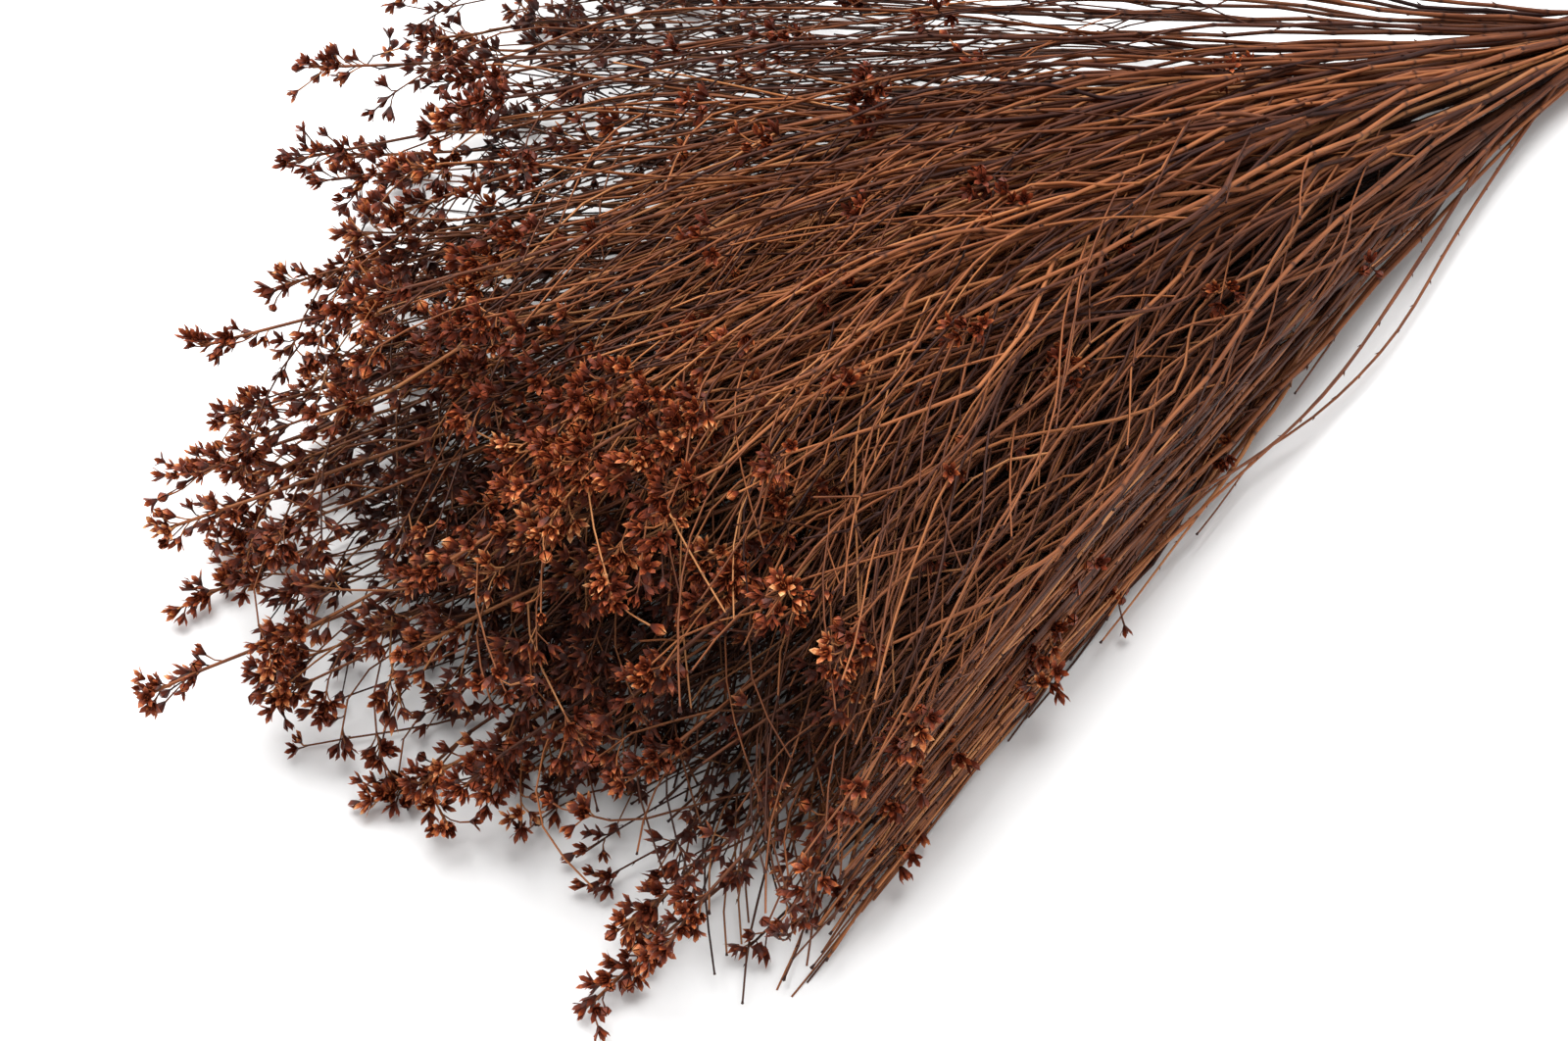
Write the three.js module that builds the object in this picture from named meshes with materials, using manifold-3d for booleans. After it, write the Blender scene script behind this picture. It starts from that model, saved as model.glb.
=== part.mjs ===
// A bunch of dried broom bloom, held by an elastic band and lying on a table.
// Forty-two wiry stems run side by side through the band. Each one forks towards its end, and
// its twigs carry small star-shaped blooms. The blooms point towards -X, the cut ends
// towards +X, and the table is the plane Z = 0. All sizes are in millimetres.
import * as THREE from "three";
import { mergeVertices } from "three/addons/utils/BufferGeometryUtils.js";
import Module from "manifold-3d";

const wasm = await Module();
wasm.setup();

// The bunch as a whole. "Reach" is measured along a stem from the band.
const CUT_REACH = 115;
const TIP_REACH = 456; // the longest sprays
const FAR_SHORTER = 112; // how much shorter the sprays are at the far edge of the fan
const NEAR_SHORTER = 8; // the same at the near edge
const LOBE_WIDTH = 0.8; // the tips of the fan stand in lobes this far apart, in half fan widths
const LOBE_REACH = 14; // how far the lobes stand out
const DRAW = 16; // picks one of many bunches that differ in their random draws
const UNEVEN = 12; // how much one spray is longer or shorter than its neighbours
const FAN_SLOPE = 0.525; // sideways travel of the outermost stem for each millimetre of reach
const CUT_SLOPE = 0.12; // the same on the cut side of the band
const BLOOM_THICKNESS = 104; // height of the bunch at its blooms
const DOME = 0.22; // share of that height that is missing at both edges of the fan
const PRESSED = 4.5; // depth by which the room of the lowest layer dips into the table at the blooms
const CUT_PRESSED = 0.15; // the same for the lowest cut ends
const SEATING = 0.68; // height over the table of what lies on it, as a share of its clear space

// The stems under the band, in layers from the table up.
const STEMS_IN_LAYER = [6, 8, 8, 8, 7, 5];
const LAYERS = STEMS_IN_LAYER.length;
const MOST_STEMS = Math.max(...STEMS_IN_LAYER);
const STEM_RADIUS = 1.3;
const STEM_FOOT = STEM_RADIUS / 2; // from a stem's middle down to its lowest side
const COLUMN_PITCH = 2.6;
const LAYER_PITCH = 2.65;
const WAIST_HALF_WIDTH = (MOST_STEMS * COLUMN_PITCH) / 2;
const WAIST_THICKNESS = LAYERS * LAYER_PITCH;

// Each layer spreads over its own share of the fan, swings sideways and has its own length.
const SPREAD_AT_BLOOMS = [1, 1, 0.98, 0.94, 0.86, 0.74];
const SWING = [0.03, -0.04, 0.05, -0.05, 0.04, -0.04];
const LAYER_LENGTH = [1, 1, 0.99, 0.97, 0.93, 0.88];
const LOWEST_TIP = [0.8, 0.78, 0.74, 0.7, 0.65, 0.6]; // nearest twig tip, as a share of the spray's reach
const SWING_LENGTH = 95; // reach over which a layer swings by one radian
const SPREAD_BY = 250; // reach at which a layer has taken its full share of the fan
const FULL_THICKNESS_BY = 360; // reach at which the bunch has its full height
const ON_TABLE_BY = 300; // reach at which the lowest layer lies on the table
const CUT_RISE = 0.045; // how much the stems sink for each millimetre from the band to their cut ends
const LAYER_FILL = 0.94; // share of its layer's height that a spray may use

// A spray: one stem with its twigs and blooms. Its stalks have three sides.
const KNOTS = [-CUT_REACH, -5, 5, 40, 110, 190, 280]; // reaches at which a stem bends
const LAST_STRETCH = 45; // least length of a stem's last stretch
const STRAIGHT_TO = 30; // reach up to which stems run side by side without a wave
const WAVY_FROM = 170;
const STEM_LEAN = 0.125; // how far a stem runs beside the middle of its spray's room, from -1 to 1
const STEM_WAVE = { across: 0.15, acrossLength: 38, up: 0.25, upLength: 55 };
const FORKS = [0.32, 0.38, 0.44, 0.51, 0.59, 0.67]; // where twigs leave, as shares of the reach
const OUTWARDS = [1, -1, 0.72, -0.72, 0.44, -0.44]; // how far across its spray's room each twig ends
const LONGEST_TWIG = 0.97; // reach of the farthest twig tip, as a share of the stem's reach
const TWIG_BEND = 0.3; // place where a twig bends, as a share of its length
const BEND_SPREAD = 0.8; // share of its way across that a twig has made by then
const TWIG_TILT = 0.9; // how far up or down in its spray's room a twig runs
const STALK_SIDES = 3;
const TWIG_RADIUS = 0.8;
const ROOT_RADIUS = 0.2; // a twig's radius at its root, inside what it grows from
const NECK_RADIUS = 0.45; // any stalk's radius just below its bloom
const GAP = 0.35; // clear space between neighbouring sprays

// A bloom: a cup with pointed lobes, larger than life, so that fewer of them cover the bunch.
const BLOOM_LOBES = 5;
const BLOOM_RADIUS = 5.2;
const BLOOM_DEPTH = 5;
const NOTCH_RADIUS = 0.56 * BLOOM_RADIUS;
const NOTCH_DEPTH = 0.62 * BLOOM_DEPTH;
const HEART_DEPTH = 0.36 * BLOOM_DEPTH;
const BLOOM_ROOM = BLOOM_RADIUS + 0.9; // clear space round the place where a bloom sits
const SMALLEST_BLOOM = 0.88; // the smallest bloom's size, as a share of the largest
const BLOOM_TURN = 0.3; // how far a bloom is turned on its stalk, in radians either way

// The elastic band, wound three times round the stems.
const BAND_TURNS = 3;
const BAND_TURN_WIDTH = 2.2;
const BAND_THICKNESS = 1.3;
const BAND_GROOVE = 0.45; // thickness between two turns, as a share of the full thickness
const BAND_INNER = [WAIST_HALF_WIDTH + 1.5, WAIST_THICKNESS / 2 + 2.4]; // half its inside, wide and high
const BAND_LIFT = BAND_INNER[1] + BAND_THICKNESS - WAIST_THICKNESS / 2; // height of the stems in it
const BAND_SEGMENTS = 32;
const TABLE = new THREE.BoxGeometry(1200, 1200, 20).translate(0, 0, -10); // its top is Z = 0

const stemFinish = new THREE.MeshStandardMaterial({ color: 0x6b3d28, roughness: 0.75, metalness: 0 });
const bandFinish = new THREE.MeshStandardMaterial({ color: 0xc98d6c, roughness: 0.55, metalness: 0 });

// A repeatable number from 0 to 1 for spray a and use b.
function chance(a, b) {
  const x = Math.sin(a * 127.1 + b * 311.7 + DRAW) * 43758.5453;
  return x - Math.floor(x);
}

// The same from -1 to 1.
function swing(a, b) {
  return 2 * chance(a, b) - 1;
}

function smooth(x) {
  const t = Math.min(1, Math.max(0, x));
  return t * t * (3 - 2 * t);
}

// Half the width of the fan at a reach.
function halfWidth(s) {
  return Math.hypot(WAIST_HALF_WIDTH, (s > 0 ? FAN_SLOPE : CUT_SLOPE) * s);
}

// Height of the bunch at a reach, and at q from -1 to 1 across the fan.
function thickness(s, q) {
  const rise = Math.sin((Math.PI / 2) * Math.min(1, Math.max(0, s) / FULL_THICKNESS_BY));
  return Math.hypot(WAIST_THICKNESS, BLOOM_THICKNESS * rise * (1 - DOME * q * q));
}

// Height over the table of the underside of the room that the lowest layer has.
function underside(s) {
  if (s > 0) return BAND_LIFT - (BAND_LIFT + PRESSED) * smooth(s / ON_TABLE_BY);
  return Math.max(BAND_LIFT + CUT_RISE * s, STEM_FOOT - CUT_PRESSED - thickness(s, 0) / (2 * LAYERS));
}

// The point at a reach, q across the fan and a share of the bunch's height.
function inBunch(s, q, share) {
  const half = halfWidth(s);
  const along = s > 0 ? Math.sqrt(s * s - (q * (half - WAIST_HALF_WIDTH)) ** 2) : s;
  return new THREE.Vector3(-along, q * half, underside(s) + share * thickness(s, q));
}

// A spray's own numbers, from its layer and its place in it.
function sprayAt(layer, column, id) {
  const count = STEMS_IN_LAYER[layer];
  const side = (2 * column + 1) / count - 1;
  const q = side * SPREAD_AT_BLOOMS[layer];
  const shorter = FAR_SHORTER * smooth((q + 0.35) / 1.15) + NEAR_SHORTER * smooth((-q - 0.5) / 0.5);
  const lobe = LOBE_REACH * Math.cos((2 * Math.PI * (q + 0.33)) / LOBE_WIDTH);
  const reach = (TIP_REACH - shorter) * LAYER_LENGTH[layer] + lobe + UNEVEN * swing(id, 1);
  return { id, layer, count, side, reach, lean: swing(id, 2), wave: 2 * Math.PI * chance(id, 3) };
}

// How far across the fan the middle of a spray's room is, at a reach.
function middleOf(spray, s) {
  const opened = smooth(s / SPREAD_BY);
  const atBand = spray.count / MOST_STEMS;
  const share = atBand + (SPREAD_AT_BLOOMS[spray.layer] - atBand) * opened;
  const swung = SWING[spray.layer] * opened * Math.sin(s / SWING_LENGTH);
  return { q: spray.side * share + swung, half: share / spray.count };
}

// A point in the spray's own room, which no other spray enters: across and up run from -1 to 1,
// and clearance is kept free all round it.
function inSpray(spray, s, across, up, clearance) {
  const middle = middleOf(spray, s);
  const width = halfWidth(s);
  const leaning = s > 0 ? Math.cos(Math.asin(Math.min(1, FAN_SLOPE * Math.abs(middle.q)))) : 1;
  const sideways = Math.max(0, middle.half * width * leaning - clearance);
  const height = thickness(s, middle.q);
  const upwards = Math.max(0, (LAYER_FILL * height) / (2 * LAYERS) - clearance);
  const q = middle.q + (across * sideways) / width;
  const at = inBunch(s, q, (spray.layer + 0.5) / LAYERS + (up * upwards) / thickness(s, q));
  if (s > 0) at.z = Math.max(at.z, SEATING * clearance);
  return at;
}

// Where the stem itself runs in that room.
function acrossOf(spray, s) {
  const wave = STEM_WAVE.across * Math.sin(s / STEM_WAVE.acrossLength + spray.wave);
  return smooth((s - STRAIGHT_TO) / (WAVY_FROM - STRAIGHT_TO)) * (STEM_LEAN * spray.lean + wave);
}

function upOf(spray, s) {
  const wave = STEM_WAVE.up * Math.sin(s / STEM_WAVE.upLength + 2 * spray.wave);
  return smooth((s - STRAIGHT_TO) / (WAVY_FROM - STRAIGHT_TO)) * wave;
}

// Where a spoke of a stalk's skin stands round its axis: how far turned, out and ahead. The rows
// up to the neck are the stalk, gathered into three corners. The rim is the bloom's lobes and
// the notches between them, and the heart is the bottom of its cup.
function spokeAt(spoke, row, neck, radii, roll, size) {
  if (row > neck + 1) return { turn: 0, out: 0, ahead: HEART_DEPTH };
  if (row > neck) {
    const turn = Math.PI + roll + (Math.PI * spoke) / BLOOM_LOBES;
    if (spoke % 2) return { turn, out: NOTCH_RADIUS * size, ahead: NOTCH_DEPTH };
    return { turn, out: BLOOM_RADIUS * size, ahead: BLOOM_DEPTH };
  }
  const corner = Math.round((spoke * STALK_SIDES) / (2 * BLOOM_LOBES));
  return { turn: Math.PI + (corner * 2 * Math.PI) / STALK_SIDES, out: radii[row], ahead: 0 };
}

// A stalk through a row of points with a bloom on its end. Both are one closed skin, made from a
// cylinder whose spokes fan out into the bloom's lobes.
function stalkWithBloom(points, radii, roll, size) {
  const neck = points.length - 1;
  const rows = neck + 2;
  const spokes = 2 * BLOOM_LOBES;
  const form = new THREE.CylinderGeometry(0, 1, 1, spokes, rows);
  const place = form.getAttribute("position");
  const upright = new THREE.Vector3(0, 0, 1);
  for (let i = 0; i < place.count; i++) {
    const [x, y, z] = [place.getX(i), place.getY(i), place.getZ(i)];
    const row = Math.round((y + 0.5) * rows);
    const spoke = (Math.round((Math.atan2(x, z) * BLOOM_LOBES) / Math.PI) + spokes) % spokes;
    const knot = Math.min(row, neck);
    const ahead = points[Math.min(knot + 1, neck)];
    const facing = ahead.clone().sub(points[Math.max(knot - 1, 0)]).normalize();
    const side = new THREE.Vector3().crossVectors(upright, facing).normalize();
    const over = new THREE.Vector3().crossVectors(facing, side);
    const ring = spokeAt(spoke, row, neck, radii, roll, size);
    const out = Math.hypot(x, z) < 1e-6 ? 0 : ring.out;
    const at = points[knot].clone().addScaledVector(facing, ring.ahead);
    at.addScaledVector(side, out * Math.sin(ring.turn));
    at.addScaledVector(over, -out * Math.cos(ring.turn));
    place.setXYZ(i, at.x, at.y, at.z);
  }
  return solid(form);
}

// A closed geometry as a solid, with its shared vertices merged and its empty triangles dropped.
function solid(geometry) {
  geometry.deleteAttribute("normal");
  geometry.deleteAttribute("uv");
  const merged = mergeVertices(geometry, 1e-4);
  const faces = [];
  for (let i = 0; i < merged.index.count; i += 3) {
    const [a, b, c] = [merged.index.getX(i), merged.index.getX(i + 1), merged.index.getX(i + 2)];
    if (a !== b && b !== c && c !== a) faces.push(a, b, c);
  }
  const vertProperties = merged.getAttribute("position").array;
  return new wasm.Manifold(new wasm.Mesh({ numProp: 3, vertProperties, triVerts: new Uint32Array(faces) }));
}

// A solid as a named mesh.
function meshOf(made, name, finish) {
  const { vertProperties, triVerts } = made.getMesh();
  const geometry = new THREE.BufferGeometry();
  geometry.setAttribute("position", new THREE.BufferAttribute(vertProperties, 3));
  geometry.setIndex(new THREE.BufferAttribute(triVerts, 1));
  const mesh = new THREE.Mesh(geometry, finish);
  mesh.name = name;
  return mesh;
}

// A point on a line of { reach, at } knots.
function pointOn(line, reach) {
  const next = Math.max(1, line.findIndex((knot) => knot.reach >= reach));
  const [from, to] = [line[next - 1], line[next]];
  return from.at.clone().lerp(to.at, (reach - from.reach) / (to.reach - from.reach));
}

// A knot of a line, from where it is in the spray's room.
function knotAt(spray, reach, across, up, clearance) {
  return { reach, at: inSpray(spray, reach, across, up, clearance) };
}

// The line of the stem itself.
function stemLine(spray) {
  const line = KNOTS.filter((s) => s < spray.reach - LAST_STRETCH).map((s) => {
    return knotAt(spray, s, acrossOf(spray, s), upOf(spray, s), STEM_RADIUS + GAP);
  });
  const s = spray.reach;
  line.push(knotAt(spray, s, acrossOf(spray, s), upOf(spray, s), BLOOM_ROOM));
  return line;
}

// The line of twig k, which leaves the stem at one of the forks.
function twigLine(spray, stem, k) {
  const use = 10 * (k + 1);
  const root = spray.reach * FORKS[k];
  const lowest = LOWEST_TIP[spray.layer];
  const step = (k + chance(spray.id, use)) / FORKS.length;
  const end = spray.reach * (lowest + (LONGEST_TWIG - lowest) * step);
  const side = chance(spray.id, 4) < 0.5 ? -1 : 1;
  const across = side * OUTWARDS[k] * (0.9 + 0.1 * chance(spray.id, use + 1));
  const up = TWIG_TILT * ((Math.floor(k / 2) + spray.id) % 2 ? -1 : 1);
  const bend = root + TWIG_BEND * (end - root);
  const near = acrossOf(spray, root);
  return [
    { reach: root, at: pointOn(stem, root) },
    knotAt(spray, bend, near + (across - near) * BEND_SPREAD, up, TWIG_RADIUS + GAP),
    knotAt(spray, end, across, up, BLOOM_ROOM),
  ];
}

// A stem or twig with the bloom on its end, from its line and the radii along it.
function branch(spray, line, radii, use) {
  const size = SMALLEST_BLOOM + (1 - SMALLEST_BLOOM) * chance(spray.id, use + 2);
  const roll = BLOOM_TURN * swing(spray.id, use + 3);
  return stalkWithBloom(line.map((knot) => knot.at), radii, roll, size);
}

// One whole spray.
function makeSpray(spray) {
  const stem = stemLine(spray);
  const last = stem.length - 1;
  const radii = stem.map((_, k) => STEM_RADIUS + (NECK_RADIUS - STEM_RADIUS) * (k / last) ** 2);
  const twigRadii = [ROOT_RADIUS, TWIG_RADIUS, NECK_RADIUS];
  const twigs = FORKS.map((_, k) => branch(spray, twigLine(spray, stem, k), twigRadii, 10 * (k + 1)));
  return twigs.reduce((whole, twig) => whole.add(twig), branch(spray, stem, radii, 0));
}

// The band: an oval ring whose outside shows its turns side by side. It starts as a round ring
// that is 1 mm in radius inside, and is then widened round the stems.
function makeBand() {
  const halfBand = (BAND_TURNS * BAND_TURN_WIDTH) / 2;
  const groove = 1 + BAND_GROOVE * BAND_THICKNESS;
  const profile = [new THREE.Vector2(1, -halfBand)];
  for (let turn = 0; turn < BAND_TURNS; turn++) {
    const from = (turn - BAND_TURNS / 2) * BAND_TURN_WIDTH;
    profile.push(new THREE.Vector2(groove, from));
    profile.push(new THREE.Vector2(1 + BAND_THICKNESS, from + 0.25 * BAND_TURN_WIDTH));
    profile.push(new THREE.Vector2(1 + BAND_THICKNESS, from + 0.75 * BAND_TURN_WIDTH));
  }
  profile.push(new THREE.Vector2(groove, halfBand), new THREE.Vector2(1, halfBand), profile[0].clone());
  const form = new THREE.LatheGeometry(profile, BAND_SEGMENTS);
  const place = form.getAttribute("position");
  for (let i = 0; i < place.count; i++) {
    const radius = Math.hypot(place.getX(i), place.getZ(i));
    const wide = (place.getX(i) / radius) * (BAND_INNER[0] + radius - 1);
    const high = (place.getZ(i) / radius) * (BAND_INNER[1] + radius - 1);
    place.setXYZ(i, -place.getY(i), wide, high);
  }
  form.translate(0, 0, underside(0) + WAIST_THICKNESS / 2);
  return solid(form);
}

// The sprays, with the lowest ones cut off flat where they would dip into the table.
const table = solid(TABLE);
const bunch = new THREE.Group();
STEMS_IN_LAYER.forEach((count, layer) => {
  for (let column = 0; column < count; column++) {
    const id = bunch.children.length + 1;
    const spray = sprayAt(layer, column, id);
    const whole = layer === 0 ? makeSpray(spray).subtract(table) : makeSpray(spray);
    bunch.add(meshOf(whole, `spray_${String(id).padStart(2, "0")}`, stemFinish));
  }
});
bunch.add(meshOf(makeBand(), "elastic_band", bandFinish));

// The origin is under the middle of the bunch, on the table.
const box = new THREE.Box3().setFromObject(bunch);
bunch.position.set(-(box.min.x + box.max.x) / 2, -(box.min.y + box.max.y) / 2, 0);

export default bunch;
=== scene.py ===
import logging
import math
import random
from dataclasses import dataclass, field
from enum import Enum
from typing import ClassVar

import bmesh
import bpy
import numpy as np
from mathutils import Matrix, Vector


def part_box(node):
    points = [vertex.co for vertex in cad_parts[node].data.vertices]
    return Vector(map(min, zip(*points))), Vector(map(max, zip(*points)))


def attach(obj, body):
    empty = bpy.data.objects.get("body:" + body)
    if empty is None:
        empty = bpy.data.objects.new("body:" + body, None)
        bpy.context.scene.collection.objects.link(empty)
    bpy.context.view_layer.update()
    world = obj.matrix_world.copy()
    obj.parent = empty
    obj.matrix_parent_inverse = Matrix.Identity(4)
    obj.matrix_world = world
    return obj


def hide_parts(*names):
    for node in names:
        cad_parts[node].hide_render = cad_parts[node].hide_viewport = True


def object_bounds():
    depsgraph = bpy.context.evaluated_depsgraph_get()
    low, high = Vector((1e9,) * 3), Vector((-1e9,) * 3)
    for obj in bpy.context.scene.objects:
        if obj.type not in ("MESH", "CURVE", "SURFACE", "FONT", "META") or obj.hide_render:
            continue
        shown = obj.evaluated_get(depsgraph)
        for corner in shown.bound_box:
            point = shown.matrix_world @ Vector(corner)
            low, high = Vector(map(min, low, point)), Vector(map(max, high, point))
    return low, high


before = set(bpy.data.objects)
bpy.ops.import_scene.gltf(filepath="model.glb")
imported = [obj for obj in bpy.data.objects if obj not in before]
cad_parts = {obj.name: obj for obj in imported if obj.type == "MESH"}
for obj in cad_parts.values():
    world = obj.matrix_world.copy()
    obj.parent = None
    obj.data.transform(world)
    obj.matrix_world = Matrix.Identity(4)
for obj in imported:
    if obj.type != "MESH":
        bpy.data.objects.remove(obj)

CAD_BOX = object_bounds()
BODY = "root"
BAND_NODE = "elastic_band"
MM = 0.001
GOLDEN_TURN = math.pi * (3 - math.sqrt(5))
DRAW = 16  # the same draw of random numbers as the frame's

Socket = bpy.types.NodeSocket
Colour = tuple[float, float, float, float]
Stops = tuple[tuple[float, tuple[float, float, float]], ...]

log = logging.getLogger("broom_bloom")


def chance(a: float, b: float) -> float:
    """Give the repeatable number that the frame uses for a spray.

    Args:
        a: The spray's number.
        b: What the number is used for.

    Returns:
        A number from 0 to 1.
    """
    x = math.sin(a * 127.1 + b * 311.7 + DRAW) * 43758.5453
    return x - math.floor(x)


def swing(a: float, b: float) -> float:
    """Give the same kind of number from -1 to 1."""
    return 2 * chance(a, b) - 1


def smooth(x: float) -> float:
    """Ease from 0 to 1 as x goes from 0 to 1, and stay level outside."""
    t = min(1.0, max(0.0, x))
    return t * t * (3 - 2 * t)


def eased(x: float, start: float, end: float) -> float:
    """Let a value run on as it is up to a start, and from there come ever closer to an end."""
    room = end - start
    return x if abs(x) < start else math.copysign(end - room * math.exp((start - abs(x)) / room), x)


def moved(start: float, move: float, low: float, high: float) -> float:
    """Move a value, ever more slowly once it has used most of the room before an edge."""
    room = max(1e-3, high - start if move > 0 else start - low)
    return start + eased(move, 0.6 * room, room)


def unit(v: np.ndarray) -> np.ndarray:
    """Scale one vector, or each row of many, to length 1."""
    return v / np.maximum(np.linalg.norm(v, axis=-1, keepdims=True), 1e-9)


def beside(heading: np.ndarray) -> tuple[np.ndarray, np.ndarray]:
    """Find two directions square to a heading.

    Args:
        heading: A unit vector, or one in each row.

    Returns:
        Two unit vectors for each heading, which make a right-handed set with it.
    """
    mean = heading if heading.ndim == 1 else heading.mean(axis=0)
    reference = np.eye(3)[int(np.argmin(np.abs(mean)))]
    side = unit(np.cross(reference, heading))
    return side, np.cross(heading, side)


def rows_at(stops: np.ndarray | float, places: np.ndarray, rows: np.ndarray) -> np.ndarray:
    """Find what lies at some stops, between the rows of values that lie at given places."""
    return np.stack([np.interp(stops, places, column) for column in rows.T], axis=-1)


def to_mesh(bm: bmesh.types.BMesh, name: str) -> bpy.types.Mesh:
    """Turn a bmesh into a mesh.

    Args:
        bm: The bmesh, which is freed.
        name: The mesh's name.

    Returns:
        The mesh.
    """
    mesh = bpy.data.meshes.new(name)
    bm.to_mesh(mesh)
    bm.free()
    return mesh


@dataclass(frozen=True)
class Spot:
    """A place in the bunch: reach from the tie in mm, place across the fan, share of its height."""

    reach: float
    across: float
    height: float


@dataclass(frozen=True)
class Bunch:
    """The form of the whole bunch, in millimetres from the tie, as the frame's sprays have it."""

    tip_reach: float = 456
    far_shorter: float = 112
    near_shorter: float = 8
    lobe_width: float = 0.8
    lobe_reach: float = 14
    lobe_shift: float = 0.33
    uneven: float = 12
    fan_slope: float = 0.525
    cut_slope: float = 0.12
    bloom_thickness: float = 104
    dome: float = 0.22
    pressed: float = 4.5
    cut_pressed: float = 0.15
    seating: float = 0.68
    stems_in_layer: tuple[int, ...] = (6, 8, 8, 8, 7, 5)
    column_pitch: float = 2.6
    layer_pitch: float = 2.65
    stem_radius: float = 1.3
    spread_at_blooms: tuple[float, ...] = (1, 1, 0.98, 0.94, 0.86, 0.74)
    swing_of_layer: tuple[float, ...] = (0.03, -0.04, 0.05, -0.05, 0.04, -0.04)
    layer_length: tuple[float, ...] = (1, 1, 0.99, 0.97, 0.93, 0.88)
    lowest_tip: tuple[float, ...] = (0.8, 0.78, 0.74, 0.7, 0.65, 0.6)
    swing_length: float = 95
    spread_by: float = 250
    full_thickness_by: float = 360
    on_table_by: float = 300
    cut_rise: float = 0.045
    layer_fill: float = 0.94
    band_lift: float = 3.7

    @property
    def layers(self) -> int:
        """Count the layers of stems."""
        return len(self.stems_in_layer)

    @property
    def most_stems(self) -> int:
        """Give the number of stems in the fullest layer."""
        return max(self.stems_in_layer)

    @property
    def waist_half_width(self) -> float:
        """Give half the width of the stems under the band."""
        return self.most_stems * self.column_pitch / 2

    @property
    def waist_thickness(self) -> float:
        """Give the height of the stems under the band."""
        return self.layers * self.layer_pitch

    def half_width(self, s: float) -> float:
        """Give half the width of the fan at a reach."""
        return math.hypot(self.waist_half_width, (self.fan_slope if s > 0 else self.cut_slope) * s)

    def thickness(self, s: float, q: float) -> float:
        """Give the height of the bunch at a reach, and at q from -1 to 1 across the fan."""
        rise = math.sin(math.pi / 2 * min(1.0, max(0.0, s) / self.full_thickness_by))
        return math.hypot(self.waist_thickness, self.bloom_thickness * rise * (1 - self.dome * q * q))

    def underside(self, s: float) -> float:
        """Give the height over the table of the underside of the lowest layer's room."""
        if s > 0:
            return self.band_lift - (self.band_lift + self.pressed) * smooth(s / self.on_table_by)
        foot = self.stem_radius / 2 - self.cut_pressed - self.thickness(s, 0) / (2 * self.layers)
        return max(self.band_lift + self.cut_rise * s, foot)

    def point(self, spot: Spot) -> np.ndarray:
        """Turn a place in the bunch into a point.

        Args:
            spot: The place.

        Returns:
            The point, in millimetres from the tie.
        """
        s, q = spot.reach, spot.across
        half = self.half_width(s)
        sideways = q * (half - self.waist_half_width)
        along = math.sqrt(max(0.0, s * s - sideways * sideways)) if s > 0 else s
        return np.array((-along, q * half, self.underside(s) + spot.height * self.thickness(s, q)))

    def spot(self, at: np.ndarray) -> Spot:
        """Find the place in the bunch of a point on the bloom side of the tie.

        Args:
            at: The point, in millimetres from the tie.

        Returns:
            The place.
        """
        s = math.hypot(at[0], at[1])
        q = 0.0
        for _ in range(4):
            half = self.half_width(s)
            q = at[1] / half
            s = math.hypot(at[0], q * (half - self.waist_half_width))
        return Spot(s, q, (at[2] - self.underside(s)) / self.thickness(s, q))

    def limit(self, q: float) -> float:
        """Give the reach of the longest sprays at a place across the fan."""
        shorter = self.far_shorter * smooth((q + 0.35) / 1.15) + self.near_shorter * smooth((-q - 0.5) / 0.5)
        return self.tip_reach - shorter + self.lobe(q)

    def lobe(self, q: float) -> float:
        """Give how far the tips stand out of an even outline at a place across the fan."""
        return self.lobe_reach * math.cos(2 * math.pi * (q + self.lobe_shift) / self.lobe_width)

    def depth(self, at: np.ndarray) -> float:
        """Tell how deep inside the blooming part a point is, from 0 at its surface to 1; this sets the
        painted shade inside the bunch, and how many blooms show there.
        """
        spot = self.spot(at)
        under = (0.87 - spot.height) / 0.4
        inward = (1 - abs(spot.across)) / 0.2
        behind = (1 - spot.reach / self.limit(spot.across)) / 0.12
        opened = (spot.reach - 5) / 60
        return max(0.0, min(1.0, under, inward, behind, opened)) if at[0] < 0 else 0.0


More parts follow.
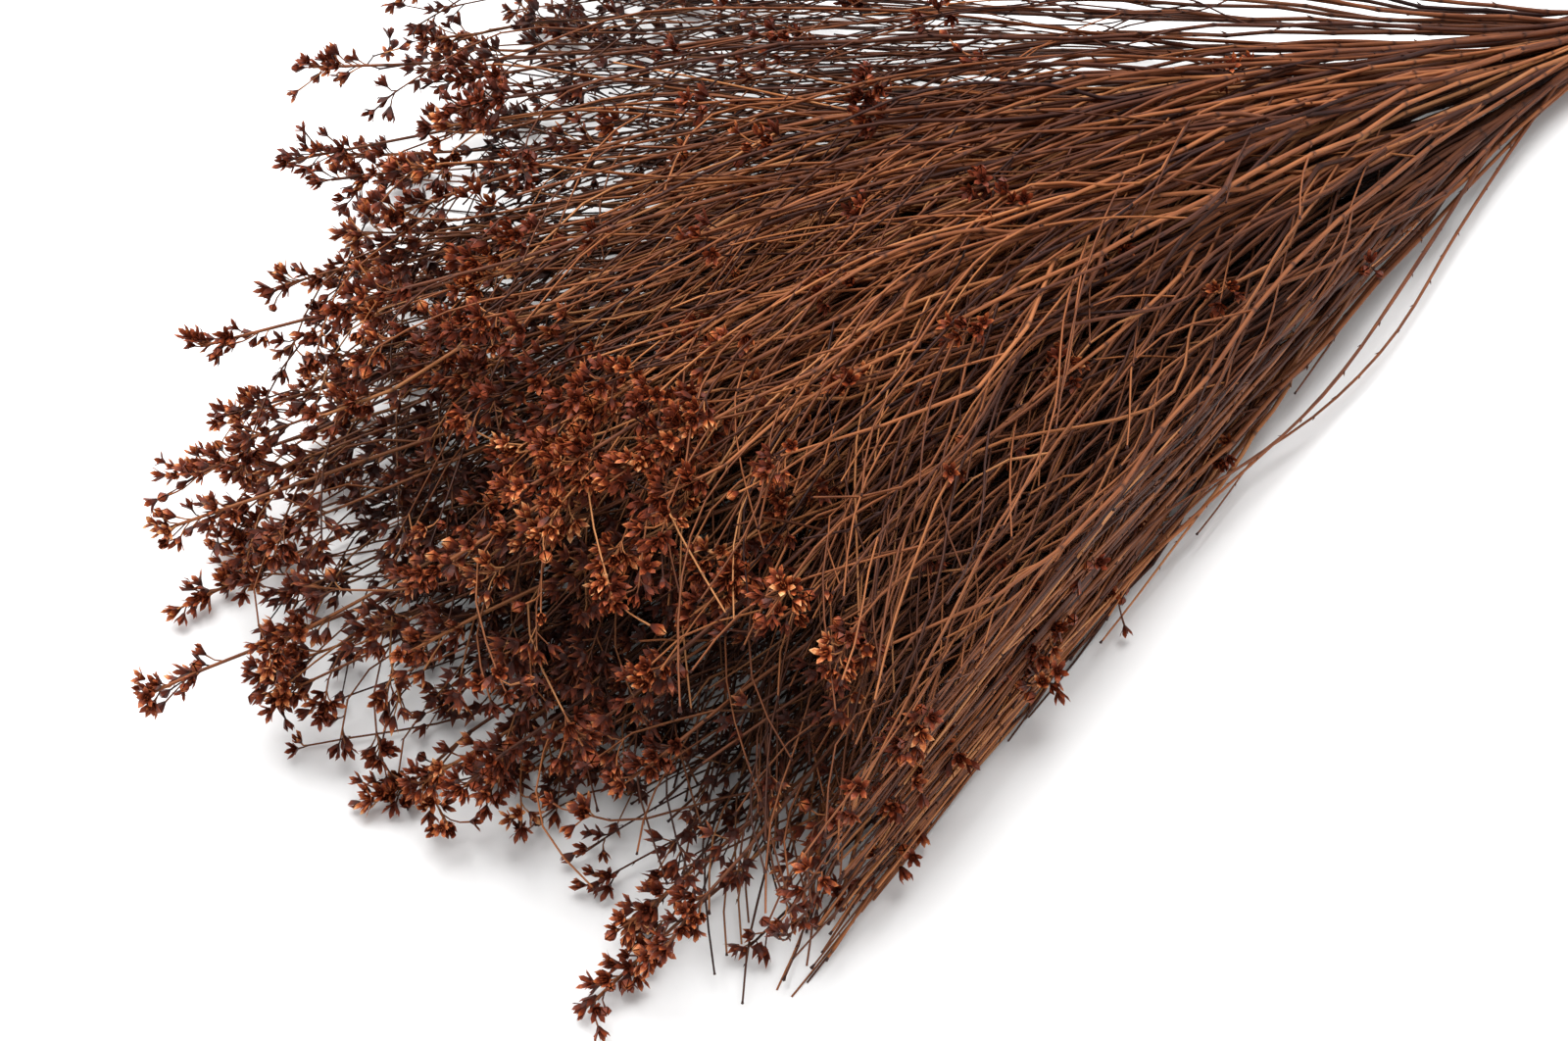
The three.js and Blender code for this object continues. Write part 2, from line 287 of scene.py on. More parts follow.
@dataclass
class Line:
    """A stalk's middle line: its points and radii in mm, and 1 wherever it has a joint."""

    JOINT_BEND: ClassVar[float] = 0.55
    points: np.ndarray
    radii: np.ndarray
    joints: np.ndarray

    @classmethod
    def through(cls, knots: list[np.ndarray], radii: list[float], spacing: float,
                joint_every: float = 0.0, swell: float = 0.0, rng: random.Random | None = None) -> "Line":
        """Lay a smooth line through a few knots.

        Args:
            knots: The points that the line passes.
            radii: The radius at each knot.
            spacing: About how far apart the line's own points are.
            joint_every: About how far apart its joints are, or 0 for none.
            swell: How much thicker it is at a joint, as a share of its radius.
            rng: Where the joints' random spacing comes from.

        Returns:
            The line.
        """
        rough = np.array(knots)
        chords = np.maximum(np.linalg.norm(np.diff(rough, axis=0), axis=1), 1e-6)
        slopes = np.diff(rough, axis=0) / chords[:, None]
        tangents = np.empty_like(rough)
        tangents[0], tangents[-1] = slopes[0], slopes[-1]
        weight = (chords[:-1] / (chords[:-1] + chords[1:]))[:, None]
        tangents[1:-1] = slopes[:-1] * (1 - weight) + slopes[1:] * weight
        fine, fine_radii = [rough[:1]], [np.array(radii[:1])]
        steps = 10
        for k, chord in enumerate(chords):
            t = np.arange(1, steps + 1)[:, None] / steps
            fine.append((2 * t**3 - 3 * t**2 + 1) * rough[k] + (3 * t**2 - 2 * t**3) * rough[k + 1]
                        + ((t**3 - 2 * t**2 + t) * tangents[k] + (t**3 - t**2) * tangents[k + 1]) * chord)
            fine_radii.append(radii[k] + (radii[k + 1] - radii[k]) * t[:, 0])
        path, thick = np.concatenate(fine), np.concatenate(fine_radii)
        way = np.concatenate(([0.0], np.cumsum(np.linalg.norm(np.diff(path, axis=0), axis=1))))
        sections = max(len(knots) - 1 if len(knots) < 4 else 3, round(way[-1] / spacing))
        stops = [float(x) for x in np.linspace(0, way[-1], sections + 1)]
        marks = []
        if joint_every and rng:
            at = joint_every * rng.uniform(0.5, 1.0)
            while at < way[-1] - joint_every / 3:
                marks.append(at)
                at += joint_every * rng.uniform(0.75, 1.25)
            stops = [0.0, way[-1]] + [m + d for m in marks for d in (-1.5, 0.0, 1.5)]
            if spacing < joint_every:
                stops += [(a + b) / 2 for a, b in zip(marks, marks[1:])]
            stops = sorted(x for x in stops if 0 <= x <= way[-1])
        stops = np.array(stops)
        points = rows_at(stops, way, path)
        joints = np.isin(stops, marks).astype(float)
        if marks:
            bends = np.array([[rng.gauss(0, cls.JOINT_BEND) for _ in range(3)] for _ in marks])
            ends = np.zeros((1, 3))
            bends, places = np.concatenate((ends, bends, ends)), [0.0, *marks, way[-1]]
            points += rows_at(stops, places, bends)
        return cls(points, np.interp(stops, way, thick) * (1 + swell * joints), joints)

    @property
    def travelled(self) -> np.ndarray:
        """Give the way from the line's start to each of its points."""
        return np.concatenate(([0.0], np.cumsum(np.linalg.norm(np.diff(self.points, axis=0), axis=1))))

    @property
    def headings(self) -> np.ndarray:
        """Give the line's direction at each of its points."""
        return unit(np.gradient(self.points, axis=0))

    def at(self, share: float) -> tuple[np.ndarray, np.ndarray, float]:
        """Find a place on the line.

        Args:
            share: The share of the line's length before it.

        Returns:
            The point, the direction and the radius there.
        """
        way = self.travelled
        stop = share * way[-1]
        heading = unit(rows_at(stop, way, self.headings))
        return rows_at(stop, way, self.points), heading, float(np.interp(stop, way, self.radii))

    def softened(self, times: int) -> "Line":
        """Ease the bends of the line, and leave its two ends where they are.

        Args:
            times: How often each bend is eased.

        Returns:
            The line itself.
        """
        for _ in range(times):
            self.points[1:-1] = (self.points[:-2] + 2 * self.points[1:-1] + self.points[2:]) / 4
        return self

    def kept_inside(self, low: np.ndarray, high: np.ndarray) -> "Line":
        """End the line where it would run out through a side of a box, and lift it off the table.

        Args:
            low: The box's lowest corner.
            high: Its highest corner.

        Returns:
            The line itself.
        """
        level = self.points[:, :2]
        beyond = np.flatnonzero(np.any((level < low[:2] + 1) | (level > high[:2] - 1), axis=1))
        if np.any(beyond > 3):
            end = beyond[beyond > 3][0]
            places = np.linspace(0, len(self.points) - 1, end)
            self.radii = np.interp(places, np.arange(len(self.points)), self.radii)
            self.points, self.joints = self.points[:end], self.joints[:end]
        margin = self.radii[:, None]
        self.points = np.clip(self.points, low + margin, high - margin)
        return self


@dataclass(frozen=True)
class Spray:
    """One spray's place and lines, as the frame has them."""

    bunch: Bunch
    number: int
    layer: int
    column: int
    knots: tuple[float, ...] = (-115, -5, 5, 40, 110, 190, 280)
    last_stretch: float = 45
    straight_to: float = 30
    wavy_from: float = 170
    stem_lean: float = 0.125
    wave_across: tuple[float, float] = (0.15, 38)
    wave_up: tuple[float, float] = (0.25, 55)
    forks: tuple[float, ...] = (0.32, 0.38, 0.44, 0.51, 0.59, 0.67)
    outwards: tuple[float, ...] = (1, -1, 0.72, -0.72, 0.44, -0.44)
    longest_twig: float = 0.97
    twig_bend: float = 0.3
    bend_spread: float = 0.8
    twig_tilt: float = 0.9
    gap: float = 0.35
    bloom_room: float = 6.1
    twig_room: float = 1.15

    @property
    def node(self) -> str:
        """Give the name of the frame's node."""
        return f"spray_{self.number:02d}"

    @property
    def count(self) -> int:
        """Give the number of sprays in this layer."""
        return self.bunch.stems_in_layer[self.layer]

    @property
    def side(self) -> float:
        """Give the spray's place in its layer, from -1 to 1."""
        return (2 * self.column + 1) / self.count - 1

    @property
    def reach(self) -> float:
        """Give the reach of the spray's tip."""
        b = self.bunch
        q = self.side * b.spread_at_blooms[self.layer]
        longest = (b.limit(q) - b.lobe(q)) * b.layer_length[self.layer]
        return longest + b.lobe(q) + b.uneven * swing(self.number, 1)

    def middle_of(self, s: float) -> tuple[float, float]:
        """Give the middle and half the width of the spray's room across the fan, at a reach."""
        b = self.bunch
        opened = smooth(s / b.spread_by)
        at_band = self.count / b.most_stems
        share = at_band + (b.spread_at_blooms[self.layer] - at_band) * opened
        swung = b.swing_of_layer[self.layer] * opened * math.sin(s / b.swing_length)
        return self.side * share + swung, share / self.count

    def in_room(self, s: float, across: float, up: float, clearance: float) -> np.ndarray:
        """Find a point in the spray's own room.

        Args:
            s: The reach.
            across: From -1 to 1 across the room.
            up: From -1 to 1 up the room.
            clearance: What is kept free all round the point.

        Returns:
            The point.
        """
        b = self.bunch
        middle, half = self.middle_of(s)
        width = b.half_width(s)
        leaning = math.cos(math.asin(min(1.0, b.fan_slope * abs(middle)))) if s > 0 else 1.0
        sideways = max(0.0, half * width * leaning - clearance)
        upwards = max(0.0, b.layer_fill * b.thickness(s, middle) / (2 * b.layers) - clearance)
        q = middle + across * sideways / width
        at = b.point(Spot(s, q, (self.layer + 0.5) / b.layers + up * upwards / b.thickness(s, q)))
        if s > 0:
            at[2] = max(at[2], b.seating * clearance)
        return at

    def across_of(self, s: float) -> float:
        """Give where the stem runs across the spray's room, at a reach."""
        size, length = self.wave_across
        lean, wave = swing(self.number, 2), 2 * math.pi * chance(self.number, 3)
        opened = smooth((s - self.straight_to) / (self.wavy_from - self.straight_to))
        return opened * (self.stem_lean * lean + size * math.sin(s / length + wave))

    def up_of(self, s: float) -> float:
        """Give where the stem runs up the spray's room, at a reach."""
        size, length = self.wave_up
        wave = 2 * math.pi * chance(self.number, 3)
        opened = smooth((s - self.straight_to) / (self.wavy_from - self.straight_to))
        return opened * size * math.sin(s / length + 2 * wave)

    def stem_knots(self) -> list[np.ndarray]:
        """Give the points that the stem passes, from its cut end to its tip."""
        reaches = [s for s in self.knots if s < self.reach - self.last_stretch]
        clear = self.bunch.stem_radius + self.gap
        knots = [self.in_room(s, self.across_of(s), self.up_of(s), clear) for s in reaches]
        s = self.reach
        return knots + [self.in_room(s, self.across_of(s), self.up_of(s), self.bloom_room)]

    def limb_reaches(self, k: int) -> tuple[float, float, float]:
        """Give the reaches at which limb k starts, bends and ends."""
        lowest = self.bunch.lowest_tip[self.layer]
        root = self.reach * self.forks[k]
        step = (k + chance(self.number, 10 * (k + 1))) / len(self.forks)
        end = self.reach * (lowest + (self.longest_twig - lowest) * step)
        return root, root + self.twig_bend * (end - root), end

    def limb_knots(self, k: int) -> list[np.ndarray]:
        """Give the points at which limb k bends and ends."""
        use = 10 * (k + 1)
        root, bend, end = self.limb_reaches(k)
        side = -1 if chance(self.number, 4) < 0.5 else 1
        across = side * self.outwards[k] * (0.9 + 0.1 * chance(self.number, use + 1))
        up = self.twig_tilt * (-1 if (k // 2 + self.number) % 2 else 1)
        near = self.across_of(root)
        return [self.in_room(bend, near + (across - near) * self.bend_spread, up, self.twig_room),
                self.in_room(end, across, up, self.bloom_room)]


class Template:
    """A small mesh made once with bmesh operators, whose copies are laid into larger ones."""

    def __init__(self, bm: bmesh.types.BMesh, ripeness: np.ndarray | None = None) -> None:
        """Keep a bmesh as a template.

        Args:
            bm: The bmesh, which is freed.
            ripeness: How far from its base each vertex of a bloom is, or 1 on a stalk's pith.
        """
        self.mesh = to_mesh(bm, "template")
        self.size = len(self.mesh.vertices)
        flat = np.empty(self.size * 3, np.float32)
        self.mesh.vertices.foreach_get("co", flat)
        self.rest = flat.reshape(-1, 3).astype(float)
        self.ripeness = np.zeros(self.size) if ripeness is None else ripeness
        self.mesh.attributes.new("grain", "FLOAT_VECTOR", "POINT")
        for name in ("tint", "slim", "joint", "deep", "ripe"):
            self.mesh.attributes.new(name, "FLOAT", "POINT")

    def write(self, points: np.ndarray, grain: np.ndarray, tint: float, slim: np.ndarray,
              joint: np.ndarray, deep: np.ndarray) -> None:
        """Move the template's vertices and set what its finish reads.

        Args:
            points: Where each vertex goes, in metres.
            grain: Where it lies on the straight stalk or the upright bloom, in millimetres.
            tint: The copy's own number from 0 to 1.
            slim: 1 on the finest stalks and 0 on stems.
            joint: 1 at a stalk's joints.
            deep: How deep inside the bunch it is, from 0 to 1, which the finishes turn into painted shade.
        """
        self.mesh.vertices.foreach_set("co", points.astype(np.float32).ravel())
        self.mesh.attributes["grain"].data.foreach_set("vector", grain.astype(np.float32).ravel())
        values = {"tint": np.full(self.size, tint), "slim": slim, "joint": joint, "deep": deep,
                  "ripe": self.ripeness}
        for name, value in values.items():
            self.mesh.attributes[name].data.foreach_set("value", value.astype(np.float32))


@dataclass
class StalkStock:
    """Straight closed stalks of radius 1, one section for each unit of length."""

    pith_from: int = 8
    pith_edge: float = 0.32
    made: dict[tuple[int, int], Template] = field(default_factory=dict)

    def get(self, sides: int, sections: int) -> Template:
        """Make a stalk, or give the one that is there.

        Args:
            sides: The number of sides round it.
            sections: The number of sections along it.

        Returns:
            The template.
        """
        if (sides, sections) not in self.made:
            bm = bmesh.new()
            bmesh.ops.create_cone(bm, cap_ends=True, cap_tris=False, segments=sides,
                                  radius1=1, radius2=1, depth=sections)
            bmesh.ops.translate(bm, verts=bm.verts[:], vec=(0, 0, sections / 2))
            long = [e for e in bm.edges if abs(e.verts[0].co.z - e.verts[1].co.z) > 0.5]
            for face in bm.faces:
                face.smooth = abs(face.normal.z) < 0.5
            for edge in bm.edges:
                edge.smooth = edge in long
            if sides >= self.pith_from:
                ends = [face for face in bm.faces if not face.smooth]
                bmesh.ops.inset_individual(bm, faces=ends, thickness=self.pith_edge)
            if sections > 1:
                bmesh.ops.subdivide_edges(bm, edges=long, cuts=sections - 1, use_grid_fill=True)
            pith = np.array([1.0 if math.hypot(v.co.x, v.co.y) < 0.9 else 0.0 for v in bm.verts])
            self.made[sides, sections] = Template(bm, pith)
        return self.made[sides, sections]


class Opening(Enum):
    """How far a bloom is open, and whether it is one of the plain ones inside the bunch."""

    STAR = "star"
    HALF = "half"
    CUP = "cup"
    CLOSED = "closed"
    PLAIN_STAR = "plain star"
    PLAIN_CUP = "plain cup"


@dataclass(frozen=True)
class BloomShape:
    """The sizes of one kind of bloom, in millimetres."""

    tepals: int = 5
    neck_radius: float = 0.35
    cup_radius: float = 1.1
    cup_depth: float = 1.35
    wall: float = 0.34
    hollow: float = 0.3
    middle_radius: float = 1.65
    middle_height: float = 2.3
    middle_width: float = 1.0
    tip_radius: float = 2.55
    tip_height: float = 3.0
    heart_height: float = 2.9
    plain: bool = False
    unevenness: float = 0.14

    def build(self, seed: int) -> Template:
        """Make the bloom upright on the origin: a cup whose rim is drawn out into pointed tepals.

        Args:
            seed: Picks the small differences between its tepals.

        Returns:
            The template.
        """
        rng = random.Random(seed)
        bm = bmesh.new()
        bmesh.ops.create_cone(bm, cap_ends=True, cap_tris=False, segments=self.tepals,
                              radius1=self.neck_radius, radius2=self.cup_radius, depth=self.cup_depth)
        bmesh.ops.translate(bm, verts=bm.verts[:], vec=(0, 0, self.cup_depth / 2))
        top = max(bm.faces, key=lambda face: face.calc_center_median().z)
        rim = self.inset(bm, top, self.wall, -self.hollow)
        heart = [] if self.plain else self.inset(bm, top, self.wall, 0.1)
        for face in rim:
            self.draw_out(bm, face, rng)
        for face in heart:
            self.draw_up(bm, face, rng)
        bmesh.ops.recalc_face_normals(bm, faces=bm.faces[:])
        height = max(self.tip_height, self.tip_radius)
        ripeness = np.array([min(1.0, math.hypot(v.co.z, 0.6 * math.hypot(v.co.x, v.co.y)) / height)
                             for v in bm.verts])
        return Template(bm, ripeness)

    @staticmethod
    def inset(bm: bmesh.types.BMesh, face: bmesh.types.BMFace, thickness: float, depth: float
              ) -> list[bmesh.types.BMFace]:
        """Inset a face and give the ring of faces round it."""
        return bmesh.ops.inset_region(bm, faces=[face], thickness=thickness, depth=depth,
                                      use_even_offset=True)["faces"]

    def draw_out(self, bm: bmesh.types.BMesh, rim: bmesh.types.BMFace, rng: random.Random) -> None:
        """Draw one face of the rim out into a tepal with a broad middle and a point.

        Args:
            bm: The bloom so far.
            rim: The face.
            rng: Where the tepal's own differences come from.
        """
        foot = rim.calc_center_median()
        around = math.atan2(foot.y, foot.x) + self.unevenness * rng.uniform(-1, 1)
        spread = 1 + self.unevenness * rng.uniform(-1.3, 1.3)
        raised = 1 + self.unevenness * rng.uniform(-1, 1)
        outward = Vector((math.cos(around), math.sin(around), 0))
        tip = outward * self.tip_radius * spread + Vector((0, 0, self.tip_height * raised))
        if not self.plain:
            rim = bmesh.ops.extrude_discrete_faces(bm, faces=[rim])["faces"][0]
            middle = outward * self.middle_radius * spread + Vector((0, 0, self.middle_height * raised))
            bmesh.ops.translate(bm, verts=rim.verts[:], vec=middle - foot)
            size = (self.middle_width, self.middle_width, 0.6)
            bmesh.ops.scale(bm, verts=rim.verts[:], vec=size, space=Matrix.Translation(-middle))
        point = bmesh.ops.extrude_discrete_faces(bm, faces=[rim])["faces"][0]
        bmesh.ops.pointmerge(bm, verts=point.verts[:], merge_co=tip)

    def draw_up(self, bm: bmesh.types.BMesh, ring: bmesh.types.BMFace, rng: random.Random) -> None:
        """Draw one face inside the cup up into one of the heart's small points.

        Args:
            bm: The bloom so far.
            ring: The face.
            rng: Where the point's own differences come from.
        """
        foot = ring.calc_center_median()
        point = bmesh.ops.extrude_discrete_faces(bm, faces=[ring])["faces"][0]
        lean = rng.uniform(0.7, 1.7)
        height = self.heart_height * rng.uniform(0.85, 1.1)
        bmesh.ops.pointmerge(bm, verts=point.verts[:], merge_co=(foot.x * lean, foot.y * lean, height))


BLOOM_SHAPES: dict[Opening, BloomShape] = {
    Opening.STAR: BloomShape(),
    Opening.HALF: BloomShape(middle_radius=1.5, middle_height=2.5, tip_radius=2.0, tip_height=3.7,
                             heart_height=3.2),
    Opening.CUP: BloomShape(middle_radius=1.3, middle_height=2.6, tip_radius=1.2, tip_height=4.0,
                            heart_height=3.4),
    Opening.CLOSED: BloomShape(middle_radius=1.05, middle_height=2.3, tip_radius=0.25, tip_height=3.9,
                               middle_width=1.1, heart_height=2.6, unevenness=0.07),
    Opening.PLAIN_STAR: BloomShape(cup_radius=1.4, wall=0.5, tip_radius=2.5, tip_height=3.2, plain=True),
    Opening.PLAIN_CUP: BloomShape(cup_radius=1.4, cup_depth=1.8, wall=0.5, tip_radius=1.7,
                                  tip_height=3.9, plain=True),
}


@dataclass
class BloomStock:
    """A few blooms of each kind, which differ a little, and the stalks' scales and buds."""

    variants: int = 3
    mix: tuple[tuple[Opening, float], ...] = (
        (Opening.STAR, 0.26), (Opening.HALF, 0.38), (Opening.CUP, 0.22), (Opening.CLOSED, 0.14))
    plain_mix: tuple[tuple[Opening, float], ...] = ((Opening.PLAIN_STAR, 0.6), (Opening.PLAIN_CUP, 0.4))
    scale_radius: float = 0.3
    scale_length: float = 1.7
    bud_radius: float = 0.42
    bud_length: float = 1.1
    made: dict[Opening, list[Template]] = field(default_factory=dict)

    def __post_init__(self) -> None:
        """Build the blooms, the scale and the bud."""
        for kind, shape in BLOOM_SHAPES.items():
            self.made[kind] = [shape.build(seed) for seed in range(self.variants)]
        self.scale = self.spike(3, self.scale_radius, 0, self.scale_length)
        self.bud = self.spike(4, self.bud_radius / 2, self.bud_radius, self.bud_length)

    @staticmethod
    def spike(sides: int, foot: float, top: float, length: float) -> Template:
        """Make a small closed cone that stands on the origin.

        Args:
            sides: The number of its sides.
            foot: Its radius at the origin.
            top: Its radius at the top.
            length: Its length.

        Returns:
            The template.
        """
        bm = bmesh.new()
        bmesh.ops.create_cone(bm, cap_ends=True, cap_tris=False, segments=sides,
                              radius1=foot, radius2=top, depth=length)
        bmesh.ops.remove_doubles(bm, verts=bm.verts[:], dist=1e-4)
        bmesh.ops.translate(bm, verts=bm.verts[:], vec=(0, 0, length / 2))
        return Template(bm)

    def pick(self, rng: random.Random, plain: bool) -> Template:
        """Pick a bloom at random, in the shares that the mix gives."""
        kinds, shares = zip(*(self.plain_mix if plain else self.mix))
        return rng.choice(self.made[rng.choices(kinds, shares)[0]])


class Gathering:
    """Copies of templates gathered into one mesh, in the frame's metres."""

    def __init__(self, tie: np.ndarray, bunch: Bunch) -> None:
        """Start an empty mesh.

        Args:
            tie: The tie's place in the frame, in metres.
            bunch: The form of the whole bunch.
        """
        self.bm = bmesh.new()
        self.tie = tie
        self.bunch = bunch

    def lay_stalk(self, stock: StalkStock, line: Line, sides: int, tint: float) -> None:
        """Lay a stalk along a line.

        Args:
            stock: Where the straight stalk comes from.
            line: The line.
            sides: The number of sides round it.
            tint: The stalk's own number from 0 to 1.
        """
        template = stock.get(sides, len(line.points) - 1)
        row = np.rint(template.rest[:, 2]).astype(int)
        headings = line.headings
        side, over = beside(headings)
        out = template.rest[:, :2] * line.radii[row, None]
        at = line.points[row] + out[:, :1] * side[row] + out[:, 1:] * over[row]
        grain = np.column_stack((out, line.travelled[row] + 900 * tint))
        slim = np.clip(1.2 - line.radii[row], 0, 1)
        # How deep inside the bunch each vertex is, for the painted shade.
        deep = np.array([self.bunch.depth(point) for point in line.points])[row]
        template.write(at * MM + self.tie, grain, tint, slim, line.joints[row], deep)
        self.bm.from_mesh(template.mesh)

    def set_copy(self, template: Template, base: np.ndarray, facing: np.ndarray, size: float,
                 roll: float, tint: float, joint: float = 0.0) -> None:
        """Set a copy of an upright template, such as a bloom on its stalk's end.

        Args:
            template: The template.
            base: Where its foot goes.
            facing: The direction in which it points.
            size: Its size, as a share of the template's.
            roll: How far it is turned round its own axis, in radians.
            tint: Its own number from 0 to 1.
            joint: How dark it is, as a joint is.
        """
        side, over = beside(facing)
        turned = math.cos(roll) * side + math.sin(roll) * over
        axes = np.array((turned, np.cross(facing, turned), facing))
        at = base + size * template.rest @ axes
        grain = template.rest + 40 * tint
        even = np.ones(template.size)
        # How deep inside the bunch the copy is, for the painted shade.
        deep = self.bunch.depth(base) * even
        template.write(at * MM + self.tie, grain, tint, 0 * even, joint * even, deep)
        self.bm.from_mesh(template.mesh)

    def finish(self, name: str, finish: bpy.types.Material, slot: str, node: str) -> bpy.types.Object:
        """Turn what was gathered into a piece that stands for one of the frame's nodes.

        Args:
            name: The piece's name.
            finish: Its material.
            slot: Not used.
            node: The node.

        Returns:
            The piece.
        """
        return place_piece(to_mesh(self.bm, name), finish, node)


def place_piece(mesh: bpy.types.Mesh, finish: bpy.types.Material, node: str
                ) -> bpy.types.Object:
    """Put a finished mesh into the scene as a piece of the bunch.

    Args:
        mesh: The mesh, which has the piece's name.
        finish: Its material.
        node: The frame's node that the piece stands for.

    Returns:
        The piece.
    """
    mesh.materials.append(finish)
    piece = bpy.data.objects.new(mesh.name, mesh)
    bpy.context.scene.collection.objects.link(piece)
    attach(piece, BODY)
    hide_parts(node)
    return piece


def tapered(first: float, last: float, steps: int, power: float = 1.0) -> list[float]:
    """Give the radii of a stalk that thins from its first knot to its last."""
    return [first + (last - first) * (n / steps) ** power for n in range(steps + 1)]


@dataclass(frozen=True)
class StalkKind:
    """How one kind of stalk is laid, what is on its end, and how its side shoots stand.

    Lengths are in millimetres. What is looser is added where the bunch is loosest.
    """

    sides: int
    spacing: float
    scale_size: float
    heads: tuple[int, ...] = ()
    least_heads: int = 0
    joint_every: float = 0
    joint_swell: float = 0
    eased: int = 0
    tint_spread: float = 0.2
    first_shoot: float = 0
    shoot_every: float = 0
    looser_first: float = 0
    looser_every: float = 0


class Stalk(Enum):
    """The kinds of stalk in a spray."""

    STEM = StalkKind(8, 12, 1.5, joint_every=20, joint_swell=0.16, tint_spread=0.1,
                     first_shoot=0.6, shoot_every=24, looser_first=0.1)
    LIMB = StalkKind(5, 9, 1.2, (6, 7, 8, 9), 3, joint_every=17, joint_swell=0.2,
                     first_shoot=0.45, shoot_every=46, looser_first=0.1, looser_every=-16)
    LOW_LIMB = StalkKind(5, 99, 1.3, (5, 6, 7), joint_every=24, joint_swell=0.18)
    COMPANION = StalkKind(5, 99, 1.2, (5, 6, 7), joint_every=25, joint_swell=0.18)
    RUNNER = StalkKind(3, 11, 0.9, (3, 4, 5, 6), eased=2, first_shoot=0.5, shoot_every=115)
    STRAY = StalkKind(5, 11, 1.0, eased=1, first_shoot=0.75, shoot_every=45)
    SHOOT = StalkKind(3, 10, 0.8, (1, 2, 3, 3, 4, 5), eased=1, tint_spread=0.22)


@dataclass
class Growth:
    """What grows on one spray: its stem and limbs, finer twigs on them, and blooms on their ends.

    Radii and lengths are in millimetres. Most other values are shares of a stalk's length, of the
    fan's width or of its height. A pair is the least and the most, or the first and the last.
    """

    spray: Spray
    stalks: StalkStock
    blooms: BloomStock
    tie: np.ndarray
    far_side: tuple[float, float] = (0.18, 0.66)
    height_counts: float = 0.7
    near_side: tuple[float, float] = (-0.5, -0.8)
    colour_range: tuple[float, float] = (0.34, 0.74)
    far_darker: float = 0.15
    thinner: float = 0.5
    stem_thickness: tuple[float, float] = (0.84, 1.0)
    stem_end_radius: float = 0.4
    stem_taper: float = 1.6
    stem_heads: int = 9
    cut_uneven: float = 0.035
    companion_until: float = 0.9
    companion_reaches: tuple[float, ...] = (-112, -60, -5, 5, 45, 105)
    companion_radii: tuple[float, ...] = (0.8, 0.7, 0.45, 0.45, 0.6, 0.7, 0.7, 0.6, 0.5, 0.3)
    companion_uneven: float = 6
    companion_climb: float = 90
    companion_end: tuple[float, float] = (0.85, 0.98)
    companion_spread: float = 0.08
    companion_ripple: float = 0.06
    companion_drape: float = 0.3
    limb_radii: tuple[float, float, float] = (0.78, 0.66, 0.32)
    limb_leaves: tuple[float, float] = (0.35, 0.12)
    fewer_limbs: int = 2
    fewer_limbs_from: float = 0.8
    low_limbs: int = 2
    low_limbs_until: float = 0.5
    low_limb_root: tuple[float, float] = (12, 45)
    low_limb_end: tuple[float, float] = (0.8, 0.97)
    low_limb_across: tuple[float, float] = (0.5, 0.95)
    low_limb_tilt: float = 0.9
    low_limb_knots: tuple[float, ...] = (0.14, 0.35, 0.6, 0.8, 1.0)
    low_limb_radii: tuple[float, float] = (0.95, 0.32)
    low_limb_taper: float = 1.3
    runners: int = 28
    runners_thin: float = 1.3
    near_more: float = 14
    near_longer: float = 0.22
    runner_root: tuple[float, float] = (0.14, 0.48)
    runner_end: tuple[float, float] = (0.66, 1.0)
    runner_spread: tuple[float, float] = (0.15, 0.14)
    runner_ripple: float = 0.15
    runner_drape: float = 1.4
    runner_stops: int = 10
    runner_radii: tuple[float, float] = (0.76, 0.32)
    stray_side: float = -0.85
    stray_layers: tuple[int, ...] = (1, 2, 3)
    stray_root: tuple[float, float] = (20, 60)
    stray_end: tuple[float, float] = (0.6, 0.76)
    stray_across: tuple[float, float] = (-0.04, -0.13)
    stray_height: tuple[float, float] = (0.12, 0.4)
    stray_knots: tuple[float, ...] = (0.16, 0.32, 0.48, 0.64, 0.8, 1.0)
    stray_radii: tuple[float, float] = (0.6, 0.28)
    stray_heads: int = 5
    shoot_lengths: tuple[float, float] = (55, 105)
    long_shoots: float = 0.35
    shoot_aside: tuple[float, float] = (0.1, 0.5)
    shoot_climb: float = 0.075
    shoot_ripple: float = 0.03
    shoot_droop: tuple[float, float] = (0.15, 0.55)
    shoot_stops: int = 3
    shoot_radii: tuple[float, float] = (0.42, 0.27)
    shoots_until: float = 0.96
    crooked: float = 0.055
    ridge: float = 0.32
    drape_across: float = 0.3
    drape_down: float = 0.22
    edge: float = 0.97
    bloom_from: float = 0.79
    bloom_uneven: float = 0.035
    bloom_anywhere: float = 0.05
    bare_edge: float = 0.2
    far_bare: float = 0.06
    shown: float = 2.3
    hidden: float = 1.35
    fewer_heads: float = 0.15
    plain_from: float = 0.4
    bud_dark: float = 0.5
    scale_dark: float = 0.55
    scale_missing: float = 0.35
    head_sides: int = 3
    head_stalk_radius: float = 0.24
    head_sizes: tuple[float, float] = (0.8, 1.1)
    head_height: float = 4.3
    head_half_width: float = 3.2

    def __post_init__(self) -> None:
        """Start the two pieces and the spray's own random numbers."""
        self.rng = random.Random(7000 + self.spray.number)
        self.bunch = self.spray.bunch
        self.wood = Gathering(self.tie, self.bunch)
        self.heads = Gathering(self.tie, self.bunch)
        self.low, self.high = ((np.array(corner) - self.tie) / MM for corner in CAD_BOX)
        self.loose = self.find_looseness()
        self.colour = self.rng.uniform(*self.colour_range) - self.far_darker * self.loose
        self.bloom_count = 0

